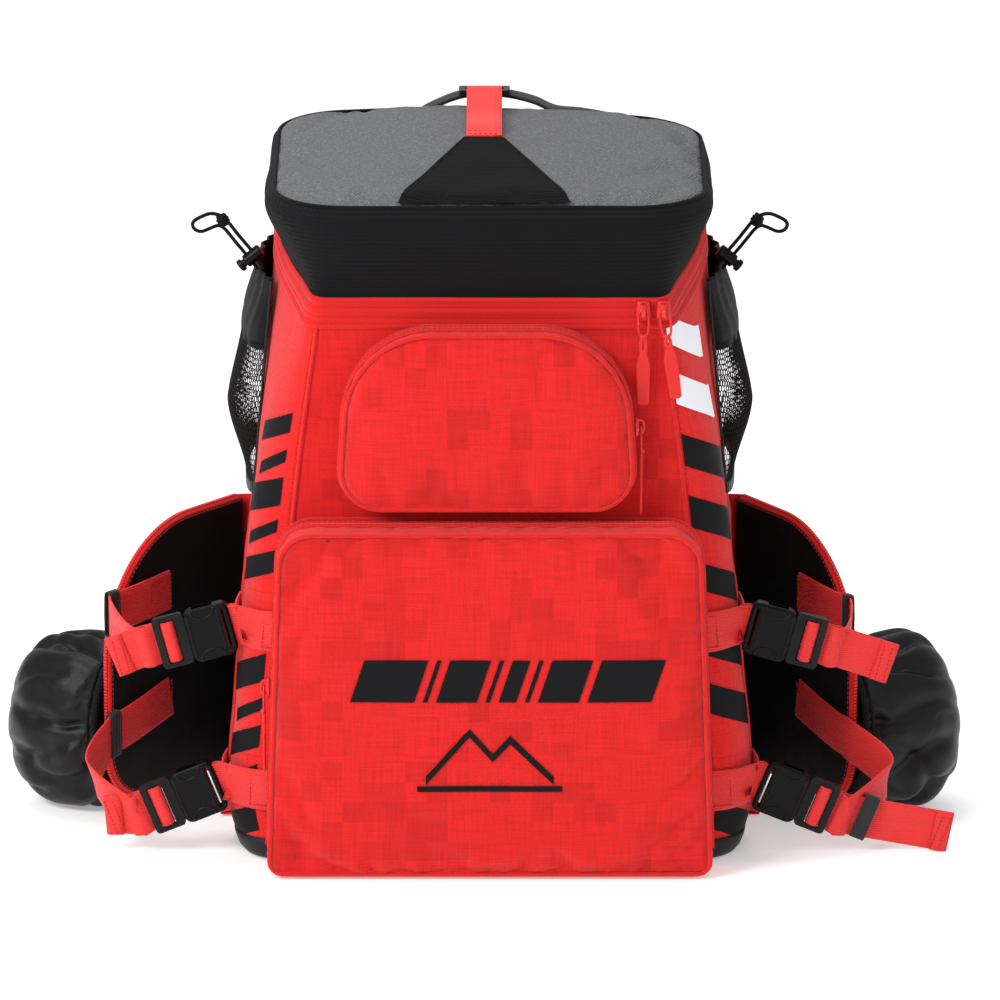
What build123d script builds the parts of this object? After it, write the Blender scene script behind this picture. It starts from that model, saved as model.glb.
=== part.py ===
from build123d import *
from math import cos, radians, sin, tan
import os

os.makedirs("parts", exist_ok=True)

# Ski boot backpack, in millimetres. X is right, Y is back (the wearer's side), Z is up.
# The origin is the centre of the base. LEFT and RIGHT multiply X for mirrored pieces.
LEFT, RIGHT = -1, 1
SIDES = ((LEFT, "left"), (RIGHT, "right"))

# Driving dimensions of the main body
BODY_DEPTH = 230.0
BODY_HALF = BODY_DEPTH / 2
BASE_HALF_WIDTH = 172.0
HIP_HALF_WIDTH = 183.0
HIP_HEIGHT = 45.0
NECK_HALF_WIDTH = 144.0
NECK_HEIGHT = 480.0
CORNER_RADIUS = 35.0
WALL = 5.0
ZIP_HEIGHT = 404.0
ZIP_TILT = 15.0
FLOOR_HEIGHT = 226.0
FLOOR_THICKNESS = 4.0
FRONT_SEAM_Y = -108.0
BACK_SEAM_Y = 100.0

# Lid
LID_GAP = 0.6
LID_WIDEST_HEIGHT = 456.0
LID_FRONT_TOP = 470.0
LID_TOP_TILT = 4.0

# Side doors, each on a fabric hinge along the back corner of the body
DOOR_HINGE_X = 170.0
DOOR_HINGE_Y = 102.0
DOOR_REACH = 162.0
DOOR_BOTTOM = 14.0
DOOR_TOP = 209.0
DOOR_THICKNESS = 6.0
DOOR_TOP_RADIUS = 92.0
DOOR_BOTTOM_RADIUS = 38.0
DOOR_ANGLE = {LEFT: 37.0, RIGHT: 31.0}

# Webbing and buckles
WEB_WIDTH = 30.0
WEB_THICKNESS = 1.6
BUCKLE_Y = -96.0
# Height, start of the socket in X, and droop in degrees, of the upper and lower buckle
BUCKLES = ((166.0, 178.0, 15.0), (52.0, 188.0, 22.0))

# Shock cord of the mesh pockets
CORD_DIAMETER = 2.6

ZIP_PLANE = Plane(
    origin=(0, -BODY_HALF, ZIP_HEIGHT),
    x_dir=(1, 0, 0),
    z_dir=(0, -sin(radians(ZIP_TILT)), cos(radians(ZIP_TILT))),
)


def save(builder, label):
    """Label one finished sub-part and write it."""
    builder.part.label = label
    export_step(builder.part, f"parts/{label}.step")


def half_width(height):
    """Half the body's width at a height."""
    if height <= HIP_HEIGHT:
        share = height / HIP_HEIGHT
        return BASE_HALF_WIDTH + share * (HIP_HALF_WIDTH - BASE_HALF_WIDTH)
    share = (height - HIP_HEIGHT) / (NECK_HEIGHT - HIP_HEIGHT)
    return HIP_HALF_WIDTH + share * (NECK_HALF_WIDTH - HIP_HALF_WIDTH)


def body_block(inset, floor=0.0):
    """The body's tapered outer form, moved in by inset and standing at the height floor."""
    with BuildPart() as block:
        for height in (floor, HIP_HEIGHT, NECK_HEIGHT):
            with BuildSketch(Plane.XY.offset(height)):
                RectangleRounded(
                    2 * (half_width(height) - inset),
                    BODY_DEPTH - 2 * inset,
                    CORNER_RADIUS - inset,
                )
        loft(ruled=True)
    return block.part


def panel_outline(middle, top_half, bottom_half, bottom, top, top_radius, bottom_radius):
    """A pocket's outline, drawn in X and Z, with rounded corners."""
    with BuildSketch() as outline:
        Polygon(
            (middle - bottom_half, bottom),
            (middle + bottom_half, bottom),
            (middle + top_half, top),
            (middle - top_half, top),
            align=None,
        )
        corners = outline.vertices().group_by(Axis.Y)
        fillet(corners[-1], top_radius)
        fillet(outline.vertices().group_by(Axis.Y)[0], bottom_radius)
    return outline.sketch


def door_outline(near, far, bottom, top, top_radius, bottom_radius):
    """A D: square at the hinge end, round at the free end. X runs from the hinge, Y is up."""
    with BuildSketch() as outline:
        Polygon((near, bottom), (far, bottom), (far, top), (near, top), align=None)
        free_end = outline.vertices().group_by(Axis.X)[-1].sort_by(Axis.Y)
        fillet(free_end[1], top_radius)
        free_end = outline.vertices().group_by(Axis.X)[-1].sort_by(Axis.Y)
        fillet(free_end[0], bottom_radius)
    return outline.sketch


# --------------------------------------------------------------------------- body panels
BODY = body_block(0)
BODY_INSIDE = body_block(WALL, WALL)
BODY_GROWN = body_block(-1.6)
FRONT_SEAM = Plane(origin=(0, FRONT_SEAM_Y, 0), x_dir=(1, 0, 0), z_dir=(0, -1, 0))
BACK_SEAM = Plane(origin=(0, BACK_SEAM_Y, 0), x_dir=(-1, 0, 0), z_dir=(0, 1, 0))
BASE_SEAM = Plane.XY.offset(WALL)
TOP_EDGE = ZIP_PLANE.offset(-1)

with BuildPart() as shell:
    add(BODY)
    add(BODY_INSIDE, mode=Mode.SUBTRACT)
    split(bisect_by=TOP_EDGE, keep=Keep.BOTTOM)

with BuildPart() as front_panel:
    add(shell.part)
    split(bisect_by=BASE_SEAM, keep=Keep.TOP)
    split(bisect_by=FRONT_SEAM, keep=Keep.TOP)
save(front_panel, "front_panel")

with BuildPart() as back_panel:
    add(shell.part)
    split(bisect_by=BASE_SEAM, keep=Keep.TOP)
    split(bisect_by=BACK_SEAM, keep=Keep.TOP)
save(back_panel, "back_panel")

with BuildPart() as base_panel:
    add(shell.part)
    split(bisect_by=BASE_SEAM, keep=Keep.BOTTOM)
save(base_panel, "base_panel")

# The doorway in a side panel is a little larger than the door that closes it
DOORWAY_GAP = 3.0
doorway = door_outline(
    -BACK_SEAM_Y + 2,
    DOOR_REACH - DOOR_HINGE_Y + DOORWAY_GAP,
    DOOR_BOTTOM - DOORWAY_GAP,
    DOOR_TOP + DOORWAY_GAP,
    DOOR_TOP_RADIUS + 1,
    DOOR_BOTTOM_RADIUS + 2,
)
# Looking along +X from outside, the doorway's X runs forwards, which is -Y
DOORWAY_PLANE = Plane(origin=(0, 0, 0), x_dir=(0, -1, 0), z_dir=(-1, 0, 0))


def side_panel(side):
    """One side wall, with its doorway to the boot bay."""
    with BuildPart() as panel:
        add(shell.part)
        split(bisect_by=BASE_SEAM, keep=Keep.TOP)
        split(bisect_by=FRONT_SEAM, keep=Keep.BOTTOM)
        split(bisect_by=BACK_SEAM, keep=Keep.BOTTOM)
        split(bisect_by=Plane.YZ, keep=Keep.TOP if side == RIGHT else Keep.BOTTOM)
        with BuildSketch(DOORWAY_PLANE):
            add(doorway)
        extrude(amount=-side * 1.2 * HIP_HALF_WIDTH, mode=Mode.SUBTRACT)
    return panel


for side, name in SIDES:
    save(side_panel(side), f"{name}_side_panel")

ZIP_PROUD = 2.0
DOOR_ZIP_WIDTH = 6.0
MAIN_ZIP_WIDTH = 16.0
with BuildPart() as door_zips:
    add(body_block(-ZIP_PROUD))
    add(BODY, mode=Mode.SUBTRACT)
    with BuildSketch(DOORWAY_PLANE):
        add(doorway)
        offset(amount=DOOR_ZIP_WIDTH)
        add(doorway, mode=Mode.SUBTRACT)
        # The zip stops at the hinge, which runs up the back corner
        with Locations((-BACK_SEAM_Y - 8, DOOR_TOP / 2)):
            Rectangle(20, 1.3 * DOOR_TOP, mode=Mode.SUBTRACT)
    extrude(amount=1.2 * HIP_HALF_WIDTH, both=True, mode=Mode.INTERSECT)
save(door_zips, "door_zips")

with BuildPart() as main_floor:
    add(BODY_INSIDE)
    split(bisect_by=Plane.XY.offset(FLOOR_HEIGHT), keep=Keep.TOP)
    split(bisect_by=Plane.XY.offset(FLOOR_HEIGHT + FLOOR_THICKNESS), keep=Keep.BOTTOM)
save(main_floor, "main_floor")

DIVIDER_THICKNESS = 4.0
with BuildPart() as boot_bay_divider:
    with Locations((0, 0, WALL)):
        Box(
            DIVIDER_THICKNESS,
            BODY_DEPTH - 2 * WALL,
            FLOOR_HEIGHT - WALL,
            align=(Align.CENTER, Align.CENTER, Align.MIN),
        )
save(boot_bay_divider, "boot_bay_divider")

# Stiffening sheet in the back of the main compartment, standing on its floor
SHEET_WIDTH = 230.0
SHEET_HEIGHT = 205.0
SHEET_CORNER = 30.0
SHEET_THICKNESS = 3.0
with BuildPart() as frame_sheet:
    with BuildSketch(Plane.XZ.offset(-(BODY_HALF - WALL))):
        with Locations((0, FLOOR_HEIGHT + FLOOR_THICKNESS + 3.5 + SHEET_HEIGHT / 2)):
            RectangleRounded(SHEET_WIDTH, SHEET_HEIGHT, SHEET_CORNER)
    extrude(amount=SHEET_THICKNESS)
save(frame_sheet, "frame_sheet")

with BuildPart() as main_zip:
    add(body_block(-ZIP_PROUD))
    add(BODY, mode=Mode.SUBTRACT)
    split(bisect_by=TOP_EDGE, keep=Keep.BOTTOM)
    split(bisect_by=TOP_EDGE.offset(-MAIN_ZIP_WIDTH), keep=Keep.TOP)
save(main_zip, "main_zip")

# --------------------------------------------------------------------------- front pockets
POCKET_WALL = 3.0
POCKET_FACE = 5.0
POCKET_ZIP_WIDTH = 7.0
# Height at the pocket's foot that has no zip
POCKET_ZIP_CLEAR = 14.0


def front_pocket(label, outline, depth, face_thickness, zip_setback):
    """A boxy pocket on the front panel: a gusset, a face and the zip round the gusset."""
    with BuildPart() as gusset:
        with BuildSketch(Plane.XZ.offset(BODY_HALF)):
            add(outline)
            offset(outline, amount=-POCKET_WALL, mode=Mode.SUBTRACT)
        extrude(amount=depth - face_thickness)
    save(gusset, f"{label}_gusset")
    with BuildPart() as face:
        with BuildSketch(Plane.XZ.offset(BODY_HALF + depth - face_thickness)):
            add(outline)
        extrude(amount=face_thickness)
        rim = face.faces().sort_by(Axis.Y)[0].edges()
        fillet(rim, face_thickness * 0.7)
    save(face, f"{label}_face")
    with BuildPart() as zip_band:
        with BuildSketch(Plane.XZ.offset(BODY_HALF + zip_setback)):
            add(outline)
            offset(outline, amount=ZIP_PROUD)
            add(outline, mode=Mode.SUBTRACT)
            low = outline.bounding_box().min.Y
            with Locations((0, low)):
                Rectangle(2 * HIP_HALF_WIDTH, 2 * POCKET_ZIP_CLEAR, mode=Mode.SUBTRACT)
        extrude(amount=POCKET_ZIP_WIDTH)
    save(zip_band, f"{label}_zip")


LOWER_DEPTH = 41.0
UPPER_DEPTH = 26.0
lower_outline = panel_outline(
    middle=0, top_half=145, bottom_half=154, bottom=2, top=247, top_radius=24, bottom_radius=10
)
upper_outline = panel_outline(
    middle=-2, top_half=94, bottom_half=103, bottom=259, top=384, top_radius=62, bottom_radius=28
)
front_pocket("lower_pocket", lower_outline, LOWER_DEPTH, POCKET_FACE, zip_setback=14)
front_pocket("upper_pocket", upper_outline, UPPER_DEPTH, POCKET_FACE, zip_setback=8)

# --------------------------------------------------------------------------- mesh pockets
MESH_Y = 25.0
MESH_HALF_LENGTH = 68.0
# Height and bulge from the wall, from the pocket's foot to the collar's rim
MESH_BULGE = ((250, 7), (300, 25), (352, 19), (400, 10))
MESH_THICKNESS = 1.6
COLLAR_SEAM = Plane.XY.offset(352)


def mesh_form(side, inset):
    """The bulging form of a mesh side pocket, made whole round the wall's surface."""
    with BuildPart() as form:
        for height, bulge in MESH_BULGE:
            with BuildSketch(Plane.XY.offset(height)):
                with Locations((side * half_width(height), MESH_Y)):
                    Ellipse(bulge - inset, MESH_HALF_LENGTH - inset)
        loft(ruled=True)
    return form.part


def mesh_shell(side):
    """The pocket's fabric: open at the top and against the body, closed at the bottom."""
    outer = mesh_form(side, 0)
    inner = mesh_form(side, MESH_THICKNESS)
    with BuildPart() as pocket:
        add(outer)
        add(inner, mode=Mode.SUBTRACT)
        add(BODY, mode=Mode.SUBTRACT)
    with BuildPart() as floor:
        add(outer)
        add(BODY, mode=Mode.SUBTRACT)
        split(bisect_by=Plane.XY.offset(MESH_BULGE[0][0] + 3), keep=Keep.BOTTOM)
    with BuildPart() as whole:
        add(pocket.part)
        add(floor.part)
    return whole.part


for side, name in SIDES:
    fabric = mesh_shell(side)
    with BuildPart() as mesh_pocket:
        add(fabric)
        split(bisect_by=COLLAR_SEAM, keep=Keep.BOTTOM)
    save(mesh_pocket, f"{name}_mesh_pocket")
    with BuildPart() as collar:
        add(fabric)
        split(bisect_by=COLLAR_SEAM, keep=Keep.TOP)
    save(collar, f"{name}_pocket_collar")

# --------------------------------------------------------------------------- shock cords
# Route of the doubled cord on the right, as (X, Y, Z): out of the collar, through the
# lock, through the knot, round the free loop and back. The left one is its mirror image.
CORD_ROUTE = (
    (157.5, -20, 401.5),
    (163.0, -20, 412.0),
    (173.5, -21, 424.5),
    (184.0, -20, 438.5),
    (193.0, -19, 441.5),
    (200.0, -20, 439.0),
    (206.5, -21, 435.5),
    (206.0, -21, 430.5),
    (200.5, -22, 428.0),
    (193.8, -21, 431.0),
    (186.3, -20, 433.6),
    (177.0, -21, 421.5),
    (166.8, -20, 409.0),
    (161.3, -20, 401.5),
)
LOCK_CENTRE = Vector(164.9, -20, 410.5)
LOCK_AXIS = Vector(0.77, 0, -0.638)
KNOT_CENTRE = Vector(185.2, -20, 436.2)
KNOT_AXIS = Vector(0.5, 0, 0.866)
LOCK_RADIUS = 4.8
LOCK_LENGTH = 13.5
LOCK_BEHIND = 7.5
LOCK_FLOOR = 2.0
CAP_RADIUS = 4.4
CAP_THICKNESS = 3.0
KNOT_RADIUS = 4.9
KNOT_LENGTH = 10.0
PLUNGER_RADIUS = 3.0
PLUNGER_FIT = 0.1
CORD_SLOT = 3.8


def corner_radii(route):
    """Each corner's arc: 0.45 of its shorter run, over the tangent of half its turn."""
    radii = []
    for before, corner, after in zip(route, route[1:], route[2:]):
        run_in = Vector(*corner) - Vector(*before)
        run_out = Vector(*after) - Vector(*corner)
        half_turn = radians(run_in.get_angle(run_out)) / 2
        radii.append(0.45 * min(run_in.length, run_out.length) / tan(half_turn))
    return radii


def mirrored(vector, side):
    """A point or a direction of the right side, on either side."""
    return Vector(side * vector.X, vector.Y, vector.Z)


def cord_lock(side):
    """The barrel: a blind bore for the plunger, crossed by a slot for the two strands."""
    axis = mirrored(LOCK_AXIS, side)
    end = mirrored(LOCK_CENTRE, side) - axis * LOCK_BEHIND
    with BuildPart() as barrel:
        with BuildSketch(Plane(origin=end, x_dir=(0, 1, 0), z_dir=axis)):
            Circle(LOCK_RADIUS)
        extrude(amount=LOCK_LENGTH)
        fillet(barrel.edges().filter_by(GeomType.CIRCLE), 1.0)
        with BuildSketch(Plane(origin=end + axis * LOCK_FLOOR, x_dir=(0, 1, 0), z_dir=axis)):
            Circle(PLUNGER_RADIUS + PLUNGER_FIT)
        extrude(amount=20, mode=Mode.SUBTRACT)
        across = axis.cross(Vector(0, 1, 0))
        centre = mirrored(LOCK_CENTRE, side)
        with BuildSketch(Plane(origin=centre, x_dir=axis, z_dir=across)):
            RectangleRounded(9.0, CORD_SLOT, 1.8)
        extrude(amount=10, both=True, mode=Mode.SUBTRACT)
    return barrel


def cord_plunger(side):
    """The plunger: a fork that straddles the strands, and the thumb cap outside."""
    axis = mirrored(LOCK_AXIS, side)
    centre = mirrored(LOCK_CENTRE, side)
    with BuildPart() as plunger:
        with BuildSketch(Plane(origin=centre - axis * 3, x_dir=(0, 1, 0), z_dir=axis)):
            Circle(PLUNGER_RADIUS)
        extrude(amount=12)
        across = axis.cross(Vector(0, 1, 0))
        fork = centre + axis * 0.5
        with BuildSketch(Plane(origin=fork, x_dir=axis, z_dir=across)):
            Rectangle(13.4, CORD_SLOT)
        extrude(amount=10, both=True, mode=Mode.SUBTRACT)
        with BuildSketch(Plane(origin=centre + axis * 8.6, x_dir=(0, 1, 0), z_dir=axis)):
            Circle(CAP_RADIUS)
        extrude(amount=CAP_THICKNESS)
        fillet(plunger.faces().sort_by(Axis((0, 0, 0), tuple(axis)))[-1].edges(), 1.0)
    return plunger


for side, name in SIDES:
    route = [(side * x, y, z) for x, y, z in CORD_ROUTE]
    radii = corner_radii(route)
    with BuildPart() as drawcord:
        with BuildLine() as path:
            FilletPolyline(*route, radius=radii)
        with BuildSketch(Plane(origin=path.line @ 0, z_dir=path.line % 0)):
            Circle(CORD_DIAMETER / 2)
        sweep()
    save(drawcord, f"{name}_drawcord")
    knot_plane = Plane(
        origin=mirrored(KNOT_CENTRE - KNOT_AXIS * KNOT_LENGTH / 2, side),
        x_dir=(0, 1, 0),
        z_dir=mirrored(KNOT_AXIS, side),
    )
    with BuildPart() as cord_knot:
        with BuildSketch(knot_plane):
            Circle(KNOT_RADIUS)
        extrude(amount=KNOT_LENGTH)
        fillet(cord_knot.edges().filter_by(GeomType.CIRCLE), 3.6)
    save(cord_knot, f"{name}_cord_knot")
    save(cord_plunger(side), f"{name}_cord_plunger")

with BuildPart() as cord_locks:
    for side, name in SIDES:
        add(cord_lock(side).part)
save(cord_locks, "cord_locks")

# --------------------------------------------------------------------------- side buckles
SOCKET_LENGTH = 32.0
SOCKET_WIDTH = 38.0
SOCKET_THICKNESS = 11.0
CLIP_LENGTH = 22.0


def buckle_plane(side, height, start, tilt, along=0.0):
    """Local X runs outboard along the strap, local Z faces the front."""
    x_dir = Vector(side * cos(radians(tilt)), 0, -sin(radians(tilt)))
    origin = Vector(side * start, BUCKLE_Y, height) + x_dir * along
    return Plane(origin=origin, x_dir=x_dir, z_dir=(0, -1, 0))


def buckle_socket(side, height, start, tilt):
    """The female half: a waisted shell with side windows and a web bar."""
    plane = buckle_plane(side, height, start, tilt, SOCKET_LENGTH / 2)
    with BuildPart() as socket:
        with BuildSketch(plane):
            RectangleRounded(SOCKET_LENGTH, SOCKET_WIDTH, 6)
        extrude(amount=SOCKET_THICKNESS / 2, both=True)
        fillet(socket.faces().filter_by(Axis.Y).edges(), 2.0)
        # Cavity for the clip, open at the outboard end
        with BuildSketch(plane):
            with Locations((4, 0)):
                Rectangle(SOCKET_LENGTH - 6, SOCKET_WIDTH - 9)
        extrude(amount=SOCKET_THICKNESS / 2 - 2, both=True, mode=Mode.SUBTRACT)
        # Release windows in both long edges
        with BuildSketch(plane):
            with Locations((2, SOCKET_WIDTH / 2), (2, -SOCKET_WIDTH / 2)):
                RectangleRounded(15, 12, 3)
        extrude(amount=SOCKET_THICKNESS / 2 - 2, both=True, mode=Mode.SUBTRACT)
        # Slot behind the web bar
        with BuildSketch(plane):
            with Locations((-SOCKET_LENGTH / 2 + 5, 0)):
                Rectangle(2.6, WEB_WIDTH + 0.6)
        extrude(amount=SOCKET_THICKNESS, both=True, mode=Mode.SUBTRACT)
    return socket.part


def buckle_clip(side, height, start, tilt):
    """The male half: guide tongue, two sprung arms with barbs, and the ladder lock."""
    plane = buckle_plane(side, height, start, tilt, SOCKET_LENGTH + 0.4)
    with BuildPart() as clip:
        with BuildSketch(plane):
            with Locations((CLIP_LENGTH / 2, 0)):
                RectangleRounded(CLIP_LENGTH, SOCKET_WIDTH - 1, 3)
            with Locations((CLIP_LENGTH / 2 - 3, 0), (CLIP_LENGTH / 2 + 5, 0)):
                Rectangle(3.0, WEB_WIDTH + 0.6, mode=Mode.SUBTRACT)
            with Locations((-8, 0)):
                Rectangle(18, 7)
            with Locations((-9, 9.5), (-9, -9.5)):
                Rectangle(20, 3.4)
            with Locations((-14, 12), (-14, -12)):
                Rectangle(8, 4)
        extrude(amount=2.6, both=True)
    return clip.part


def web_anchor(side, height, start):
    """Webbing sewn on the side panel, with its free end round the socket's bar."""
    with BuildPart() as patch:
        add(BODY_GROWN)
        add(BODY, mode=Mode.SUBTRACT)
        with Locations((side * start, BUCKLE_Y - 4, height)):
            Box(80, 26, WEB_WIDTH, mode=Mode.INTERSECT)
    reach = start - half_width(height) + 8
    with BuildPart() as tongue:
        with Locations((side * (start - reach / 2), BUCKLE_Y, height)):
            Box(reach, WEB_THICKNESS, WEB_WIDTH)
        add(BODY, mode=Mode.SUBTRACT)
    with BuildPart() as anchor:
        add(patch.part)
        add(tongue.part)
    return anchor.part


with BuildPart() as anchor_webs:
    for side, _ in SIDES:
        for height, start, _ in BUCKLES:
            add(web_anchor(side, height, start))
save(anchor_webs, "anchor_webs")

with BuildPart() as buckle_sockets:
    for side, _ in SIDES:
        for height, start, tilt in BUCKLES:
            add(buckle_socket(side, height, start, tilt))
save(buckle_sockets, "buckle_sockets")

with BuildPart() as buckle_clips:
    for side, _ in SIDES:
        for height, start, tilt in BUCKLES:
            add(buckle_clip(side, height, start, tilt))
save(buckle_clips, "buckle_clips")


# --------------------------------------------------------------------------- side doors
def door_plane(side, outward):
    """Local X runs from the hinge to the door's free edge, Y is up."""
    angle = radians(DOOR_ANGLE[side])
    along = Vector(side * sin(angle), -cos(angle), 0)
    normal = Vector(side * cos(angle), sin(angle), 0)
    origin = Vector(side * DOOR_HINGE_X, DOOR_HINGE_Y, 0) + normal * outward
    return Plane(origin=origin, x_dir=along, z_dir=normal * -side)


# The door's board starts clear of its hinge line
DOOR_START = 9.0
DOOR_EDGE = 5.0
DOOR_ZIP_THICKNESS = 4.0
door_outer = door_outline(
    DOOR_START, DOOR_REACH, DOOR_BOTTOM, DOOR_TOP, DOOR_TOP_RADIUS, DOOR_BOTTOM_RADIUS
)
POUCH_ALONG = 132.0
POUCH_OUT = 55.0
# Height, half length along the door and half depth of the pouch
POUCH_SECTIONS = ((0.8, 30, 28), (22, 47, 45), (70, 51, 49), (112, 44, 42), (137, 22, 20))


def web_route(side, height, start, tilt):
    """Plan of a door strap, as (X, Y): sewn on the lining, round the edge, to the clip."""
    plane = door_plane(side, -1.6)
    sewn = plane.from_local_coords(Vector(96, 0, 0))
    edge = plane.from_local_coords(Vector(154, 0, 0))
    clip = buckle_plane(side, height, start, tilt, SOCKET_LENGTH + CLIP_LENGTH + 9).origin
    return (sewn.X, sewn.Y), (edge.X, edge.Y), (clip.X, clip.Y)


def door_strap(side, height, start, tilt):
    """A flat strap standing on edge, bent where it leaves the door's free edge."""
    sewn, edge, clip = web_route(side, height, start, tilt)
    low = height - 9 if height > 100 else height - 4
    with BuildPart() as strap:
        with BuildSketch(Plane.XY.offset(low - WEB_WIDTH / 2)):
            with BuildLine() as plan:
                Polyline(sewn, edge, clip)
            trace(line_width=WEB_THICKNESS)
        extrude(amount=WEB_WIDTH)
    return strap.part


for side, name in SIDES:
    with BuildPart() as door:
        with BuildSketch(door_plane(side, 0)):
            add(door_outer)
            offset(door_outer, amount=-DOOR_EDGE, mode=Mode.INTERSECT)
        extrude(amount=-side * DOOR_THICKNESS)
    save(door, f"{name}_door")
    with BuildPart() as door_zip:
        with BuildSketch(door_plane(side, 1)):
            add(door_outer)
            offset(door_outer, amount=-DOOR_EDGE, mode=Mode.SUBTRACT)
        extrude(amount=-side * DOOR_ZIP_THICKNESS)
    save(door_zip, f"{name}_door_zip")
    pouch_back = door_plane(side, DOOR_THICKNESS + 0.1)
    with BuildPart() as pouch:
        for height, half_length, half_depth in POUCH_SECTIONS:
            middle = door_plane(side, POUCH_OUT)
            centre = middle.from_local_coords(Vector(POUCH_ALONG, height, 0))
            with BuildSketch(Plane(origin=centre, x_dir=middle.x_dir, z_dir=(0, 0, 1))):
                Ellipse(half_length, half_depth)
        loft()
        split(bisect_by=pouch_back, keep=Keep.BOTTOM if side == RIGHT else Keep.TOP)
    save(pouch, f"{name}_boot_pouch")
    with BuildPart() as door_straps:
        for height, start, tilt in BUCKLES:
            add(door_strap(side, height, start, tilt))
    save(door_straps, f"{name}_door_straps")


# --------------------------------------------------------------------------- lid
LID_WALL = 5.0
LID_TOP_PLANE = Plane(
    origin=(0, -BODY_HALF, LID_FRONT_TOP),
    x_dir=(1, 0, 0),
    z_dir=(0, -sin(radians(LID_TOP_TILT)), cos(radians(LID_TOP_TILT))),
)
# Height, half width and half depth of the lid's outer form
LID_SECTIONS = ((396, 150, 117), (LID_WIDEST_HEIGHT, 159, 121), (492, 150, 121))


def lid_block(inset):
    """The lid's outer form, widest just under its top edge, moved in by inset."""
    with BuildPart() as block:
        for height, half_x, half_y in LID_SECTIONS:
            with BuildSketch(Plane.XY.offset(height)):
                RectangleRounded(2 * (half_x - inset), 2 * (half_y - inset), 40 - inset)
        loft(ruled=True)
    return block.part


LID_OUTER = lid_block(0)
LID_INNER = lid_block(LID_WALL)
LID_BOTTOM_EDGE = TOP_EDGE.offset(LID_GAP)

with BuildPart() as lid_band:
    add(LID_OUTER)
    add(LID_INNER, mode=Mode.SUBTRACT)
    split(bisect_by=LID_BOTTOM_EDGE, keep=Keep.TOP)
    split(bisect_by=LID_TOP_PLANE.offset(-LID_WALL), keep=Keep.BOTTOM)
save(lid_band, "lid_band")

with BuildPart() as lid_top_panel:
    add(LID_OUTER)
    split(bisect_by=LID_TOP_PLANE.offset(-LID_WALL), keep=Keep.TOP)
    split(bisect_by=LID_TOP_PLANE, keep=Keep.BOTTOM)
save(lid_top_panel, "lid_top_panel")

# The patch's front edge and, under the end of the strap, its narrow back edge
PATCH_FRONT_HALF = 58.0
PATCH_BACK_HALF = 14.0
PATCH_START = 4.0
PATCH_END = 132.0
with BuildPart() as lid_patch:
    with BuildSketch(LID_TOP_PLANE.offset(0.05)):
        Polygon(
            (-PATCH_FRONT_HALF, PATCH_START),
            (PATCH_FRONT_HALF, PATCH_START),
            (PATCH_BACK_HALF, PATCH_END),
            (-PATCH_BACK_HALF, PATCH_END),
            align=None,
        )
    extrude(amount=WEB_THICKNESS)
save(lid_patch, "lid_patch")

LID_STRAP_WIDTH = 25.0
LID_STRAP_X = -4.0
LID_RING_CENTRE = (LID_STRAP_X, 112, 499.5)
LID_REAR_STRAP_WIDTH = 10.0
with BuildPart() as lid_strap:
    with BuildSketch(Plane.YZ.offset(LID_STRAP_X - LID_STRAP_WIDTH / 2)):
        with BuildLine():
            Polyline((18, 480.5), (40, 487.0), (98, 501.0), (112, 499.5))
        trace(line_width=WEB_THICKNESS)
    extrude(amount=LID_STRAP_WIDTH)
save(lid_strap, "lid_strap")

with BuildPart() as lid_ring:
    with BuildSketch(Plane(origin=LID_RING_CENTRE, x_dir=(1, 0, 0), z_dir=(0, 0, 1))):
        RectangleRounded(LID_STRAP_WIDTH + 11, 16, 2.5)
        Rectangle(LID_STRAP_WIDTH + 2, 9, mode=Mode.SUBTRACT)
    extrude(amount=1.8, both=True)
save(lid_ring, "lid_ring")

with BuildPart() as lid_rear_strap:
    with BuildSketch(Plane.XZ.offset(-119)):
        with BuildLine():
            Polyline((-62, 487.6), (-36, 495), (-4, 496), (36, 494.5), (100, 488.2))
        trace(line_width=2.4)
    extrude(amount=LID_REAR_STRAP_WIDTH)
save(lid_rear_strap, "lid_rear_strap")

# --------------------------------------------------------------------------- zip sliders
WIRE_RADIUS = 0.9
WIRE_WIDTH = 1.8
PIN_FIT = 0.08
SLIDER_WIDTH = 11.0
SLIDER_LENGTH = 14.0
SLIDER_PLATE = 2.4
BRIDGE_WIDTH = 4.0
BRIDGE_LENGTH = 10.0
BRIDGE_TOP = 6.0
# Height of the pull's pivot above the slider's foot
PIVOT_HEIGHT = 4.2
PULL_WIRE_DROP = 18.0
PULL_TAB_WIDTH = 9.0
PULL_TAB_THICKNESS = 2.4


def slider_frame(x, y, z, turn):
    """Plane at a slider's foot, facing the front, or turned about Z by turn degrees."""
    return Plane(
        origin=(x, y, z),
        x_dir=(cos(radians(turn)), sin(radians(turn)), 0),
        z_dir=(sin(radians(turn)), -cos(radians(turn)), 0),
    )


def zip_slider(x, y, z, turn):
    """A slider's plate with a bored bridge on it."""
    frame = slider_frame(x, y, z, turn)
    with BuildPart() as slider:
        with BuildSketch(frame):
            RectangleRounded(SLIDER_WIDTH, SLIDER_LENGTH, 3)
        extrude(amount=SLIDER_PLATE)
        with BuildSketch(frame.offset(SLIDER_PLATE - 0.1)):
            Rectangle(BRIDGE_WIDTH, BRIDGE_LENGTH)
        extrude(amount=BRIDGE_TOP - SLIDER_PLATE + 0.1)
        bore = frame.offset(PIVOT_HEIGHT)
        across = Plane(origin=bore.origin, x_dir=bore.z_dir, z_dir=bore.x_dir)
        with BuildSketch(across):
            Circle(WIRE_RADIUS + PIN_FIT)
        extrude(amount=SLIDER_WIDTH, both=True, mode=Mode.SUBTRACT)
    return slider


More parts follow.
